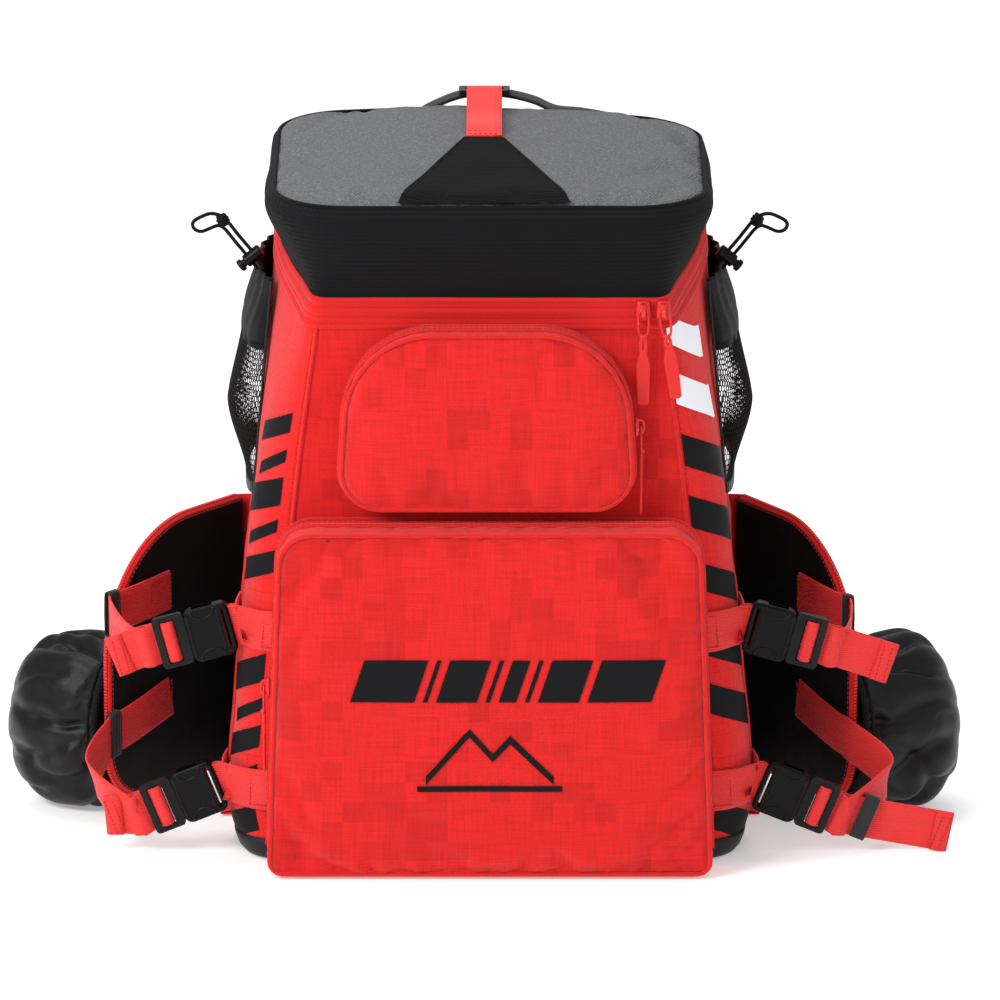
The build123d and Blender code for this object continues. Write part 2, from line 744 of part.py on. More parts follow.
def zip_pull(x, y, z, turn, length):
    """A wire loop through the slider's bridge, and the webbing tab that hangs from it."""
    pivot = slider_frame(x, y, z, turn).offset(PIVOT_HEIGHT)
    tab_length = length - PULL_WIRE_DROP
    wire_x = BRIDGE_WIDTH / 2 + 1.4
    with BuildPart() as pull:
        across = Plane(origin=pivot.origin, x_dir=pivot.z_dir, z_dir=pivot.x_dir)
        with BuildSketch(across):
            Circle(WIRE_RADIUS)
        extrude(amount=wire_x + 0.2, both=True)
        with BuildSketch(pivot.offset(-WIRE_RADIUS)):
            with Locations((wire_x, -PULL_WIRE_DROP / 2), (-wire_x, -PULL_WIRE_DROP / 2)):
                Rectangle(WIRE_WIDTH, PULL_WIRE_DROP + WIRE_WIDTH)
            with Locations((0, -PULL_WIRE_DROP)):
                Rectangle(2 * wire_x + WIRE_WIDTH, 2)
        extrude(amount=2 * WIRE_RADIUS)
        with BuildSketch(pivot.offset(-PULL_TAB_THICKNESS / 2)):
            with Locations((0, -PULL_WIRE_DROP - tab_length / 2)):
                RectangleRounded(PULL_TAB_WIDTH, tab_length, 1.5)
        extrude(amount=PULL_TAB_THICKNESS)
    return pull


MAIN_SLIDER_Z = ZIP_HEIGHT - 10.0
SLIDER_Y = -BODY_HALF - ZIP_PROUD - 0.3
MAIN_SLIDERS = ((105.0, 66.0, "one"), (119.0, 62.0, "two"))
for slider_x, pull_length, number in MAIN_SLIDERS:
    place = (slider_x, SLIDER_Y, MAIN_SLIDER_Z)
    save(zip_slider(*place, turn=0), f"main_slider_{number}")
    save(zip_pull(*place, turn=0, length=pull_length), f"main_pull_{number}")

# The upper pocket's slider stands on the right flank of its gusset, the lower one's on the left
UPPER_SLIDER = (97.6 + ZIP_PROUD, -BODY_HALF - 11.5, 316.0)
LOWER_SLIDER = (-149.8 - ZIP_PROUD, -BODY_HALF - 17.5, 132.0)
save(zip_slider(*UPPER_SLIDER, turn=90), "upper_slider")
save(zip_pull(*UPPER_SLIDER, turn=90, length=62), "upper_pull")
save(zip_slider(*LOWER_SLIDER, turn=-90), "lower_slider")
save(zip_pull(*LOWER_SLIDER, turn=-90, length=60), "lower_pull")

# --------------------------------------------------------------------------- wearer's side
PAD_FACE = BODY_HALF + 0.05
PAD_X = 66.0
PAD_MIDDLE_HEIGHT = 240.0
PAD_WIDTH = 86.0
PAD_LENGTH = 330.0
PAD_THICKNESS = 14.0
with BuildPart() as back_pads:
    with BuildSketch(Plane.XZ.offset(-PAD_FACE)):
        with Locations((-PAD_X, PAD_MIDDLE_HEIGHT), (PAD_X, PAD_MIDDLE_HEIGHT)):
            RectangleRounded(PAD_WIDTH, PAD_LENGTH, 28)
    extrude(amount=-PAD_THICKNESS)
    fillet(back_pads.faces().sort_by(Axis.Y)[-2:].edges(), 6)
save(back_pads, "back_pads")

STRAP_PAD_THICKNESS = 12.0
STRAP_PAD_WIDTH = 62.0
# A shoulder strap's middle line as (Y, Z), from its root down to the ladder lock
STRAP_PAD_ROUTE = ((123, 430), (146, 432), (158, 380), (160, 290), (154, 180))
LADDER_LOCK_WIDTH = 36.0
LADDER_LOCK_HEIGHT = 30.0
SHOULDER_WEB_WIDTH = 25.0

for side, name in SIDES:
    with BuildPart() as shoulder_strap:
        with BuildSketch(Plane.YZ.offset(side * PAD_X - STRAP_PAD_WIDTH / 2)):
            with BuildLine():
                Polyline(*STRAP_PAD_ROUTE)
            trace(line_width=STRAP_PAD_THICKNESS)
        extrude(amount=STRAP_PAD_WIDTH)
        add(back_pads.part, mode=Mode.SUBTRACT)
        split(bisect_by=Plane.XZ.offset(-PAD_FACE), keep=Keep.BOTTOM)
    save(shoulder_strap, f"{name}_shoulder_strap")

with BuildPart() as ladder_locks:
    for side, _ in SIDES:
        with BuildSketch(Plane.XZ.offset(-150)):
            with Locations((side * PAD_X, 158)):
                RectangleRounded(LADDER_LOCK_WIDTH, LADDER_LOCK_HEIGHT, 3)
                Rectangle(SHOULDER_WEB_WIDTH + 1, 5, mode=Mode.SUBTRACT)
            with Locations((side * PAD_X, 149)):
                Rectangle(SHOULDER_WEB_WIDTH + 1, 4, mode=Mode.SUBTRACT)
        extrude(amount=-4)
save(ladder_locks, "ladder_locks")

with BuildPart() as shoulder_webbing:
    for side, _ in SIDES:
        with BuildLine() as run:
            Line((side * PAD_X, 147.5, 148), (side * 140, PAD_FACE + 3, 18))
        with BuildSketch(Plane(origin=run.line @ 0, x_dir=(1, 0, 0.57 * side), z_dir=run.line % 0)):
            Rectangle(SHOULDER_WEB_WIDTH, WEB_THICKNESS)
        sweep()
save(shoulder_webbing, "shoulder_webbing")

HAUL_WIDTH = 25.0
HAUL_THICKNESS = 4.0
with BuildPart() as haul_handle:
    with BuildSketch(Plane.YZ.offset(-HAUL_WIDTH / 2)):
        with BuildLine():
            Polyline((PAD_FACE + 1, 402), (PAD_FACE + 22, 418), (PAD_FACE + 22, 426), (PAD_FACE + 1, 442))
        trace(line_width=HAUL_THICKNESS)
    extrude(amount=HAUL_WIDTH)
    split(bisect_by=Plane.XZ.offset(-PAD_FACE), keep=Keep.BOTTOM)
save(haul_handle, "haul_handle")

# Webbing tabs that stand out at the foot of each side
TAB_LENGTH = 18.0
TAB_WIDTH = 24.0
TAB_THICKNESS = 2.0
TAB_HEIGHT = 3.0
with BuildPart() as base_tabs:
    for side, _ in SIDES:
        with Locations((side * (half_width(TAB_HEIGHT) + 8), 4, TAB_HEIGHT)):
            Box(TAB_LENGTH, TAB_WIDTH, TAB_THICKNESS)
        add(BODY, mode=Mode.SUBTRACT)
save(base_tabs, "base_tabs")
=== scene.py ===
from math import acos, asin, ceil, cos, pi, radians, sin, sqrt, tan

import bmesh
import bpy
from mathutils import Matrix, Vector, noise
from mathutils.bvhtree import BVHTree
from mathutils.kdtree import KDTree


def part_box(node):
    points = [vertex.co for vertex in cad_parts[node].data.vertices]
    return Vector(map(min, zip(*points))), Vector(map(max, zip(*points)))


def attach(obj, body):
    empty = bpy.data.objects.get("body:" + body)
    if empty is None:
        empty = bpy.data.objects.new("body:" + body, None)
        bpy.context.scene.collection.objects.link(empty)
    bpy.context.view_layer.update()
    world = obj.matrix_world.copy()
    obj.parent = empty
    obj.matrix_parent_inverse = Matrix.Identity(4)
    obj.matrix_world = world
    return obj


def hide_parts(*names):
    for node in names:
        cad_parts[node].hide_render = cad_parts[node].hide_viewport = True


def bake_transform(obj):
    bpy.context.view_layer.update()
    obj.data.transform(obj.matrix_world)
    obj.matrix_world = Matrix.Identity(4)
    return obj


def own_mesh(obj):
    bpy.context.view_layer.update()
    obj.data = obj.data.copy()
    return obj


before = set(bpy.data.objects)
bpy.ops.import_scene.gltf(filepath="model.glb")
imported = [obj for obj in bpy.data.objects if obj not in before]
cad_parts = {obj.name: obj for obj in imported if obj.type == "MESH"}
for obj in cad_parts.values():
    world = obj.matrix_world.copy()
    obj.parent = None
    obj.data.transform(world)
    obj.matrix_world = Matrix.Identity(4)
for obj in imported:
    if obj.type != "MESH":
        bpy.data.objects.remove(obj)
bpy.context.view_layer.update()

# Shapes below are worked out in millimetres and scaled to metres when a mesh is made.
MM = 0.001
SIDES = ((-1, "left"), (1, "right"))


def cad(node):
    """A CAD node's lowest and highest corners, in millimetres."""
    low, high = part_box(node)
    return low / MM, high / MM


# ------------------------------------------------------------------ sizes from the frame
HIP_HALF_WIDTH = cad("right_side_panel")[1].x
BASE_HALF_WIDTH = cad("base_panel")[1].x - 1.2
HIP_HEIGHT = 45
NECK_HALF_WIDTH = HIP_HALF_WIDTH - 39
NECK_HEIGHT = 480
HALF_DEPTH = cad("base_panel")[1].y
CORNER = 35
BASE_HEIGHT = 16
# The opening under the lid: its height at the front, and how it tilts up to the back
ZIP_HEIGHT = cad("front_panel")[1].z
ZIP_TILT = radians(15)
ZIP_SLOPE = tan(ZIP_TILT)
# The side doors: hinge corner in plan, length from it, and how far each stands open
DOOR_LOW, DOOR_HIGH = cad("left_door_zip")[0].z, cad("left_door_zip")[1].z
DOOR_REACH = 162
DOOR_HINGE = (170, 102)
DOOR_ANGLE = {-1: 37, 1: 31}
POCKET_FRONT = cad("lower_pocket_face")[0].y
UPPER_FRONT = cad("upper_pocket_face")[0].y


# ------------------------------------------------------------------ camera, lights, floor
CAMERA_TARGET = Vector((7, -60, 246))
CAMERA_ELEVATION = radians(15)
CAMERA_DISTANCE = 6.0
# Width in metres that the picture spans at the target, and the camera's sensor in millimetres
SEEN_WIDTH = 0.695
SENSOR = 36
DAYLIGHT = 0.68
# Place and size in metres and power in watts of each soft light
LIGHTS = {
    "key": ((-1.5, -1.5, 1.7), 1.0, 40),
    "fill": ((1.7, -1.2, 1.1), 1.6, 2),
    "top": ((-0.2, 0.4, 2.3), 1.5, 20),
}
LIGHT_TARGET = Vector((0, 0, 0.25))
FLOOR_HALF = 6
FLOOR_DROP = 0.0004


def make_camera():
    """A long lens at the height of the picture's view."""
    data = bpy.data.cameras.new("camera")
    data.lens = SENSOR * CAMERA_DISTANCE / SEEN_WIDTH
    camera = bpy.data.objects.new("camera", data)
    back = Vector((0, -cos(CAMERA_ELEVATION), sin(CAMERA_ELEVATION)))
    camera.location = CAMERA_TARGET * MM + CAMERA_DISTANCE * back
    camera.rotation_euler = (radians(90) - CAMERA_ELEVATION, 0, 0)
    bpy.context.scene.collection.objects.link(camera)
    bpy.context.scene.camera = camera


def make_lights():
    """White daylight all round, and three soft lights."""
    world = bpy.data.worlds.new("studio")
    world.use_nodes = True
    sky = world.node_tree.nodes["Background"]
    sky.inputs["Color"].default_value = (1, 1, 1, 1)
    sky.inputs["Strength"].default_value = DAYLIGHT
    bpy.context.scene.world = world
    for name, (place, size, power) in LIGHTS.items():
        data = bpy.data.lights.new(name, "AREA")
        data.size = size
        data.energy = power
        light = bpy.data.objects.new(name, data)
        light.location = place
        light.rotation_euler = (LIGHT_TARGET - light.location).to_track_quat("-Z", "Y").to_euler()
        bpy.context.scene.collection.objects.link(light)


def make_floor():
    """A plain sheet of white paper under the bag."""
    half = FLOOR_HALF
    mesh = bpy.data.meshes.new("floor")
    corners = [(-half, -half, 0), (half, -half, 0), (half, half, 0), (-half, half, 0)]
    mesh.from_pydata(corners, [], [(0, 1, 2, 3)])
    floor = bpy.data.objects.new("floor", mesh)
    floor.location.z = -FLOOR_DROP
    bpy.context.scene.collection.objects.link(floor)
    paper = bpy.data.materials.new("white_paper")
    paper.use_nodes = True
    shader = paper.node_tree.nodes["Principled BSDF"]
    shader.inputs["Base Color"].default_value = (0.93, 0.93, 0.935, 1)
    shader.inputs["Roughness"].default_value = 0.9
    shader.inputs["Emission Color"].default_value = (1, 1, 1, 1)
    shader.inputs["Emission Strength"].default_value = 0.30
    mesh.materials.append(paper)


bpy.context.scene.view_settings.view_transform = "Standard"
make_camera()
make_lights()
make_floor()


# ------------------------------------------------------------------ mesh building
# Outline of a strap's cut, as shares of half its width and half its thickness
STRAP_SECTION = ((-1, -0.4), (-0.97, -1), (-0.5, -1), (0, -1), (0.5, -1), (0.97, -1), (1, -0.4),
                 (1, 0.4), (0.97, 1), (0.5, 1), (0, 1), (-0.5, 1), (-0.97, 1), (-1, 0.4))
THREAD_WIDTH = 0.55


class Shape:
    """Collects rows of points into quads, then becomes one object."""

    def __init__(self):
        self.points = []
        self.faces = []
        self.slots = []

    def rows(self, rows, loop=False, ring=False, slot=0):
        """Quads between rows of points. loop closes each row, ring joins last row to first."""
        start = len(self.points)
        count = len(rows[0])
        for row in rows:
            self.points.extend(Vector(p) for p in row)
        for i in range(len(rows) if ring else len(rows) - 1):
            below = start + i * count
            above = start + (i + 1) % len(rows) * count
            for j in range(count if loop else count - 1):
                k = (j + 1) % count
                self.faces.append((below + j, below + k, above + k, above + j))
                self.slots.append(slot)

    def cap(self, row, slot=0):
        """One face over a closed row."""
        start = len(self.points)
        self.points.extend(Vector(p) for p in row)
        self.faces.append(tuple(range(start, start + len(row))))
        self.slots.append(slot)

    def solid(self, rings, slot=0):
        """A skin through closed rings of points, with a cap at each end."""
        self.rows(rings, loop=True, slot=slot)
        self.cap(rings[0][::-1], slot)
        self.cap(rings[-1], slot)

    def tube(self, path, radius, sides=8, closed=False, slot=0):
        """A round tube along a path."""
        rings = []
        side = None
        for point, ahead in zip(path, directions(path, closed)):
            if side is None:
                side = ahead.orthogonal().normalized()
            side = (side - ahead * side.dot(ahead)).normalized()
            other = ahead.cross(side)
            rings.append([point + (side * cos(a) + other * sin(a)) * radius for a in circle(sides)])
        if closed:
            self.rows(rings, loop=True, ring=True, slot=slot)
        else:
            self.solid(rings, slot)

    def strap(self, path, across, width, thickness=1.5, slot=0):
        """Flat webbing along a path; across gives its width direction, one or one a point."""
        rings = []
        aheads = directions(path)
        for i, point in enumerate(path):
            wide = Vector(across[i] if isinstance(across, list) else across)
            wide = (wide - aheads[i] * wide.dot(aheads[i])).normalized()
            thick = aheads[i].cross(wide).normalized()
            rings.append([point + wide * (a * width / 2) + thick * (b * thickness / 2)
                          for a, b in STRAP_SECTION])
        self.solid(rings, slot)

    def block(self, centre, ahead, up, size, slot=0):
        """A small brick with chamfered ends: a stitch or a zip tooth."""
        ahead = Vector(ahead).normalized()
        up = Vector(up)
        up = (up - ahead * up.dot(ahead)).normalized()
        side = ahead.cross(up)
        half = Vector(size) / 2
        rings = []
        for along, shrink in ((-1, 0.45), (-0.6, 1), (0.6, 1), (1, 0.45)):
            middle = Vector(centre) + ahead * along * half.x
            ring = []
            for a, b in ((-1, -1), (1, -1), (1, 1), (-1, 1)):
                ring.append(middle + side * a * half.y * shrink + up * b * half.z * shrink)
            rings.append(ring)
        self.solid(rings, slot)

    def teeth(self, path, pitch, length_dir, size, slot=1):
        """Zip teeth along a path, each with its length in one direction."""
        path = resample(path, pitch)
        for point, ahead in zip(path, directions(path)):
            self.block(point, length_dir, ahead.cross(Vector(length_dir)), size, slot)

    def stitches(self, path, ups, pitch=3.6, length=2.5, slot=0):
        """A row of stitches along a path, standing a little proud of it."""
        path = resample(path, pitch)
        size = (length, THREAD_WIDTH, THREAD_WIDTH * 0.7)
        for point, ahead in zip(path, directions(path)):
            up = ups(point) if callable(ups) else Vector(ups)
            self.block(point + up * 0.12, ahead, up, size, slot)

    def piece(self, name, materials, body=None, replaces=(), slot=None, merge=True):
        """Make the object, hide the CAD parts that it stands for, and hang it on the body it rides on."""
        mesh = bpy.data.meshes.new(name)
        mesh.from_pydata([p * MM for p in self.points], [], self.faces)
        for each in materials if isinstance(materials, (list, tuple)) else [materials]:
            mesh.materials.append(each)
        mesh.polygons.foreach_set("material_index", self.slots)
        mesh.polygons.foreach_set("use_smooth", [True] * len(self.faces))
        obj = bpy.data.objects.new(name, mesh)
        bpy.context.scene.collection.objects.link(obj)
        if merge:
            weld(obj)
        if replaces:
            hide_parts(*replaces)
        if body:
            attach(obj, body)
        return obj


def weld(obj, distance=1e-5):
    """Merge doubled points and make the normals agree."""
    work = bmesh.new()
    work.from_mesh(obj.data)
    bmesh.ops.remove_doubles(work, verts=work.verts, dist=distance)
    bmesh.ops.recalc_face_normals(work, faces=work.faces)
    work.to_mesh(obj.data)
    work.free()


def add_modifier(obj, kind, **settings):
    """Add a modifier with its settings."""
    modifier = obj.modifiers.new(kind.lower(), kind)
    for key, value in settings.items():
        setattr(modifier, key, value)


def thicken(obj, thickness, inner_slot=0):
    """Give a sheet its thickness, inwards; the inner face can take the next material."""
    add_modifier(obj, "SOLIDIFY", thickness=thickness * MM, offset=-1, material_offset=inner_slot,
                 use_even_offset=False)


def hit_z(tree, x, y, default):
    """Height in millimetres of a finished cloth under a point."""
    found = tree.ray_cast(Vector((x * MM, y * MM, 1)), Vector((0, 0, -1)))[0]
    return found.z / MM if found else default


def hit_y(tree, x, z, default):
    """Where in Y a finished cloth faces the front at a point."""
    found = tree.ray_cast(Vector((x * MM, -1, z * MM)), Vector((0, 1, 0)))[0]
    return found.y / MM if found else default


def surface_tree(piece):
    """A search tree of a piece's own mesh."""
    points = [v.co for v in piece.data.vertices]
    return BVHTree.FromPolygons(points, [tuple(f.vertices) for f in piece.data.polygons])


def crumple(piece, held, slack, pressure, limit, gravity=0.0, frames=20, bending=0.1):
    """Let a cloth simulation wrinkle a piece. Held points stay, and none moves further than limit.
    slack is the share by which the cloth is too big, and pressure pushes it outwards."""
    mesh = piece.data
    rest = [v.co.copy() for v in mesh.vertices]
    group = piece.vertex_groups.new(name="held")
    group.add([i for i, p in enumerate(rest) if held(p / MM)], 1.0, "REPLACE")
    modifier = piece.modifiers.new("cloth", "CLOTH")
    settings = modifier.settings
    settings.quality = 7
    settings.mass = 0.15
    settings.tension_stiffness = 12
    settings.compression_stiffness = 12
    settings.shear_stiffness = 5
    settings.bending_stiffness = bending
    settings.air_damping = 3
    settings.vertex_group_mass = "held"
    settings.shrink_min = -slack
    settings.use_pressure = True
    settings.uniform_pressure_force = pressure
    settings.effector_weights.gravity = gravity
    modifier.collision_settings.use_collision = False
    modifier.point_cache.frame_end = frames
    scene = bpy.context.scene
    for number in range(1, frames + 1):
        scene.frame_set(number)
    view = bpy.context.evaluated_depsgraph_get()
    soft = piece.evaluated_get(view).to_mesh()
    moved = [v.co.copy() for v in soft.vertices]
    piece.evaluated_get(view).to_mesh_clear()
    piece.modifiers.remove(modifier)
    for vertex, start, end in zip(mesh.vertices, rest, moved):
        step = end - start
        if step.length > limit * MM:
            step *= limit * MM / step.length
        vertex.co = start + step
    scene.frame_set(1)


def directions(path, closed=False):
    """The unit direction of travel at each point of a path."""
    last = len(path) - 1
    result = []
    for i in range(len(path)):
        before = path[i - 1] if i or closed else path[0]
        after = path[(i + 1) % (last + 1)] if i < last or closed else path[last]
        result.append((Vector(after) - Vector(before)).normalized())
    return result


def smooth_path(points, step=3.0):
    """A Catmull-Rom curve through points, sampled about every step."""
    points = [Vector(p) for p in points]
    ends = [points[0] * 2 - points[1], *points, points[-1] * 2 - points[-2]]
    result = []
    for a, b, c, d in zip(ends, ends[1:], ends[2:], ends[3:]):
        count = max(2, ceil((c - b).length / step))
        for i in range(count):
            t = i / count
            result.append(0.5 * (2 * b + (c - a) * t + (2 * a - 5 * b + 4 * c - d) * t * t
                                 + (3 * b - a - 3 * c + d) * t ** 3))
    return [*result, points[-1]]


def resample(path, step):
    """Points about every step along a path."""
    path = [Vector(p) for p in path]
    result = [path[0].copy()]
    wait = step
    for a, b in zip(path, path[1:]):
        run = (b - a).length
        done = 0.0
        while run - done >= wait:
            done += wait
            result.append(a.lerp(b, done / run))
            wait = step
        wait -= run - done
    return result


def rounded(corners, step=4.0):
    """A closed outline in 2D from (x, y, radius) corners, with each corner an arc."""
    result = []
    count = len(corners)
    for i in range(count):
        before, here, after = (Vector(corners[(i + k) % count][:2]) for k in (-1, 0, 1))
        radius = corners[i][2]
        back, ahead = (before - here).normalized(), (after - here).normalized()
        half = back.angle(ahead) / 2
        turn = 1 if back.x * ahead.y - back.y * ahead.x < 0 else -1
        start = here + back * radius / tan(half)
        centre = here + (back + ahead).normalized() * radius / sin(half)
        sweep = pi - 2 * half
        pieces = max(3, ceil(radius * sweep / step))
        for k in range(pieces + 1):
            result.append(centre + Matrix.Rotation(turn * sweep * k / pieces, 2) @ (start - centre))
    flat = [Vector((p.x, p.y, 0)) for p in result]
    flat.append(flat[0].copy())
    loop = resample(flat, step)
    if (loop[-1] - loop[0]).length < step * 0.4:
        loop.pop()
    return [Vector((p.x, p.y)) for p in loop]


def with_normals(outline):
    """Each point of a closed 2D outline that runs anticlockwise, with its outward normal."""
    pairs = []
    for before, here, after in zip(outline[-1:] + outline[:-1], outline, outline[1:] + outline[:1]):
        along = after - before
        pairs.append((here, Vector((along.y, -along.x)).normalized()))
    return pairs


def ripple(point, size, seed=0.0):
    """Smooth noise from -1 to 1, with features about size across."""
    return noise.noise(Vector(point) / size + Vector((seed, seed * 1.7, seed * 0.6)))


def spread(path, count):
    """The same path as count points, evenly apart except for the last."""
    total = sum((b - a).length for a, b in zip(path, path[1:]))
    return [*resample(path, total / (count - 0.5))[:count - 1], path[-1]]


def crossings(outline, level):
    """The two ends of a level line across a closed 2D outline."""
    found = []
    for a, b in zip(outline, outline[1:] + outline[:1]):
        if (a.y - level) * (b.y - level) <= 0 and a.y != b.y:
            found.append(a.x + (b.x - a.x) * (level - a.y) / (b.y - a.y))
    return min(found), max(found)


def fill(outline, columns, levels):
    """Rows of 2D points that fill a closed outline, closer together towards its ends."""
    low = min(p.y for p in outline) + 0.01
    high = max(p.y for p in outline) - 0.01
    rows = []
    for k in range(levels + 1):
        share = 0.2 * k / levels + 0.8 * (0.5 - 0.5 * cos(pi * k / levels))
        level = low + (high - low) * share
        left, right = crossings(outline, level)
        rows.append([Vector((x, level)) for x in even(left, right, columns)])
    return rows


def edge_finder(outline):
    """A function that gives how far a 2D point lies from a closed outline."""
    points = resample([Vector((p.x, p.y, 0)) for p in [*outline, outline[0]]], 1.0)
    tree = KDTree(len(points))
    for i, point in enumerate(points):
        tree.insert(point, i)
    tree.balance()
    return lambda x, y: tree.find((x, y, 0))[2]


def even(a, b, count):
    """The numbers from a to b in count equal steps."""
    return [a + (b - a) * i / count for i in range(count + 1)]


def circle(count):
    """The angles of count equal steps round a full circle."""
    return [2 * pi * k / count for k in range(count)]


def after_gap(items, place):
    """The items of a cut-open loop, turned round so that they start after the cut."""
    start = max(range(len(items)), key=lambda i: (place(items[i]) - place(items[i - 1])).length)
    return items[start:] + items[:start]


def squared(value, power):
    """A sine or cosine raised to a power with its sign kept: under 1 it squares a circle off."""
    return abs(value) ** power * (1 if value > 0 else -1)


# ------------------------------------------------------------------ materials
class Nodes:
    """Short calls for a material's node tree."""

    def __init__(self, name):
        self.material = bpy.data.materials.new(name)
        self.material.use_nodes = True
        self.tree = self.material.node_tree
        self.shader = self.tree.nodes["Principled BSDF"]
        self.place = self.node("ShaderNodeTexCoord").outputs["Object"]

    def node(self, kind, **settings):
        """A new node with its settings."""
        node = self.tree.nodes.new(kind)
        for key, value in settings.items():
            setattr(node, key, value)
        return node

    def link(self, source, target):
        """Feed a socket with another node's output or with a plain number."""
        if isinstance(source, (int, float)):
            target.default_value = source
        else:
            self.tree.links.new(source, target)

    def math(self, operation, a, b=0.0, c=0.0):
        """Arithmetic on up to three sockets or numbers."""
        node = self.node("ShaderNodeMath", operation=operation)
        for value, socket in zip((a, b, c), node.inputs):
            self.link(value, socket)
        return node.outputs[0]

    def along(self, direction):
        """How far a point lies along a direction, in metres."""
        node = self.node("ShaderNodeVectorMath", operation="DOT_PRODUCT")
        self.tree.links.new(self.place, node.inputs[0])
        node.inputs[1].default_value = direction
        return node.outputs["Value"]

    def noise(self, size, detail=2.0, vector=None, roughness=0.5):
        """Noise from 0 to 1 with features about size metres across."""
        node = self.node("ShaderNodeTexNoise")
        node.inputs["Scale"].default_value = 1 / size
        node.inputs["Detail"].default_value = detail
        node.inputs["Roughness"].default_value = roughness
        self.tree.links.new(vector or self.place, node.inputs["Vector"])
        return node.outputs["Fac"]

    def streaks(self, across, along, width=0.0012, length=0.03):
        """Noise drawn out along a thread: fine across it and slow along it."""
        place = self.node("ShaderNodeCombineXYZ")
        self.link(self.math("DIVIDE", self.along(across), width), place.inputs[0])
        self.link(self.math("DIVIDE", self.along(along), length), place.inputs[1])
        return self.noise(1.0, 2.0, place.outputs[0])

    def wave(self, direction, pitch):
        """A sine from -1 to 1 with that pitch in metres along a direction."""
        return self.math("SINE", self.math("MULTIPLY", self.along(direction), 2 * pi / pitch))

    def mix(self, share, a, b):
        """A colour between a and b."""
        node = self.node("ShaderNodeMix", data_type="RGBA")
        self.link(share, node.inputs["Factor"])
        for value, socket in ((a, node.inputs["A"]), (b, node.inputs["B"])):
            if isinstance(value, tuple):
                socket.default_value = (*value, 1)
            else:
                self.tree.links.new(value, socket)
        return node.outputs["Result"]

    def bump(self, height, distance, strength=1.0, onto=None):
        """A normal with that relief in metres, over another normal if one is given."""
        node = self.node("ShaderNodeBump")
        node.inputs["Strength"].default_value = strength
        node.inputs["Distance"].default_value = distance
        self.link(height, node.inputs["Height"])
        if onto:
            self.tree.links.new(onto, node.inputs["Normal"])
        return node.outputs["Normal"]

    def finish(self, colour, normal=None, roughness=0.8, **settings):
        """Connect the shader, set its constants, and give the material."""
        self.link(colour, self.shader.inputs["Base Color"])
        self.link(roughness, self.shader.inputs["Roughness"])
        if normal:
            self.tree.links.new(normal, self.shader.inputs["Normal"])
        for key, value in settings.items():
            self.shader.inputs[key.replace("_", " ")].default_value = value
        return self.material


def darker(colour, share):
    """The same colour with a share of its brightness."""
    return tuple(c * share for c in colour)


def cloth(name, colour, across=(1, 1, 0), along=(0, 0, 1), pitch=0.0016, camo=0.0, heather=0.0,
          relief=0.00035, rib=0.0, sheen=0.15, roughness=0.85, crease=0.0012, fade=0.12, slubs=0.0):
    """Woven cloth: thread relief, slow colour drift, optional square blocks, heather, ribs and
    slubs, the thicker threads that show as fine dark lines."""
    n = Nodes(name)
    warp, weft = n.wave(across, pitch), n.wave(along, pitch)
    weave = n.math("MULTIPLY", warp, weft)
    slub = n.noise(0.004, 3.0)
    height = n.math("ADD", weave, n.math("MULTIPLY", slub, 1.6))
    if rib:
        height = n.math("ADD", height, n.math("MULTIPLY", n.wave(along, rib), 1.2))
    drift = n.noise(0.09, 3.0)
    base = n.mix(n.math("MULTIPLY", drift, fade * 2.4), colour, darker(colour, 0.62))
    if camo:
        cells = n.node("ShaderNodeCombineXYZ")
        for socket, direction in ((0, across), (1, along)):
            cell = n.math("FLOOR", n.math("DIVIDE", n.along(direction), camo))
            n.link(cell, cells.inputs[socket])
        white = n.node("ShaderNodeTexWhiteNoise", noise_dimensions="3D")
        n.tree.links.new(cells.outputs[0], white.inputs["Vector"])
        cluster = n.noise(4.6, 1.0, cells.outputs[0])
        score = n.math("ADD", n.math("MULTIPLY", white.outputs["Value"], 0.30), cluster)
        dark = n.math("GREATER_THAN", score, 0.715)
        strongest = n.math("GREATER_THAN", score, 0.80)
        share = n.math("ADD", n.math("MULTIPLY", dark, 0.20), n.math("MULTIPLY", strongest, 0.12))
        base = n.mix(share, base, darker(colour, 0.42))
    if slubs:
        lines = n.math("ADD", n.streaks(across, along), n.streaks(along, across))
        share = n.math("MULTIPLY_ADD", lines, 1.8 * slubs, -1.62 * slubs)
        base = n.mix(share, base, darker(colour, 0.45))
        height = n.math("ADD", height, n.math("MULTIPLY", lines, -2.2 * slubs))
    thread = n.math("MULTIPLY_ADD", weave, 0.5, 0.5)
    base = n.mix(n.math("MULTIPLY", thread, 0.30 + heather), base, darker(colour, 0.55))
    if heather:
        fleck = n.math("GREATER_THAN", n.noise(0.0016, 1.0), 0.56)
        pale = tuple(min(1, c * 2.1) for c in colour)
        base = n.mix(n.math("MULTIPLY", fleck, heather), base, pale)
    folds = n.bump(n.noise(0.05, 2.0), crease)
    normal = n.bump(height, relief, 0.8, folds)
    return n.finish(base, normal, roughness, Sheen_Weight=sheen, Sheen_Roughness=0.45,
                    Specular_IOR_Level=0.12)


def webbing(name, colour, across=(0, 0, 1)):
    """Ribbed strap webbing: fine cords running along, herringbone between them."""
    n = Nodes(name)
    cords = n.wave(across, 0.0016)
    picks = n.wave((1, 1, 0.35), 0.0013)
    height = n.math("ADD", cords, n.math("MULTIPLY", picks, 0.3))
    worn = n.noise(0.02, 4.0)
    base = n.mix(n.math("MULTIPLY", worn, 0.35), colour, darker(colour, 0.6))
    base = n.mix(n.math("MULTIPLY_ADD", height, 0.05, 0.12), base, darker(colour, 0.45))
    return n.finish(base, n.bump(height, 0.0002, 0.8), 0.62, Sheen_Weight=0.12,
                    Specular_IOR_Level=0.4)


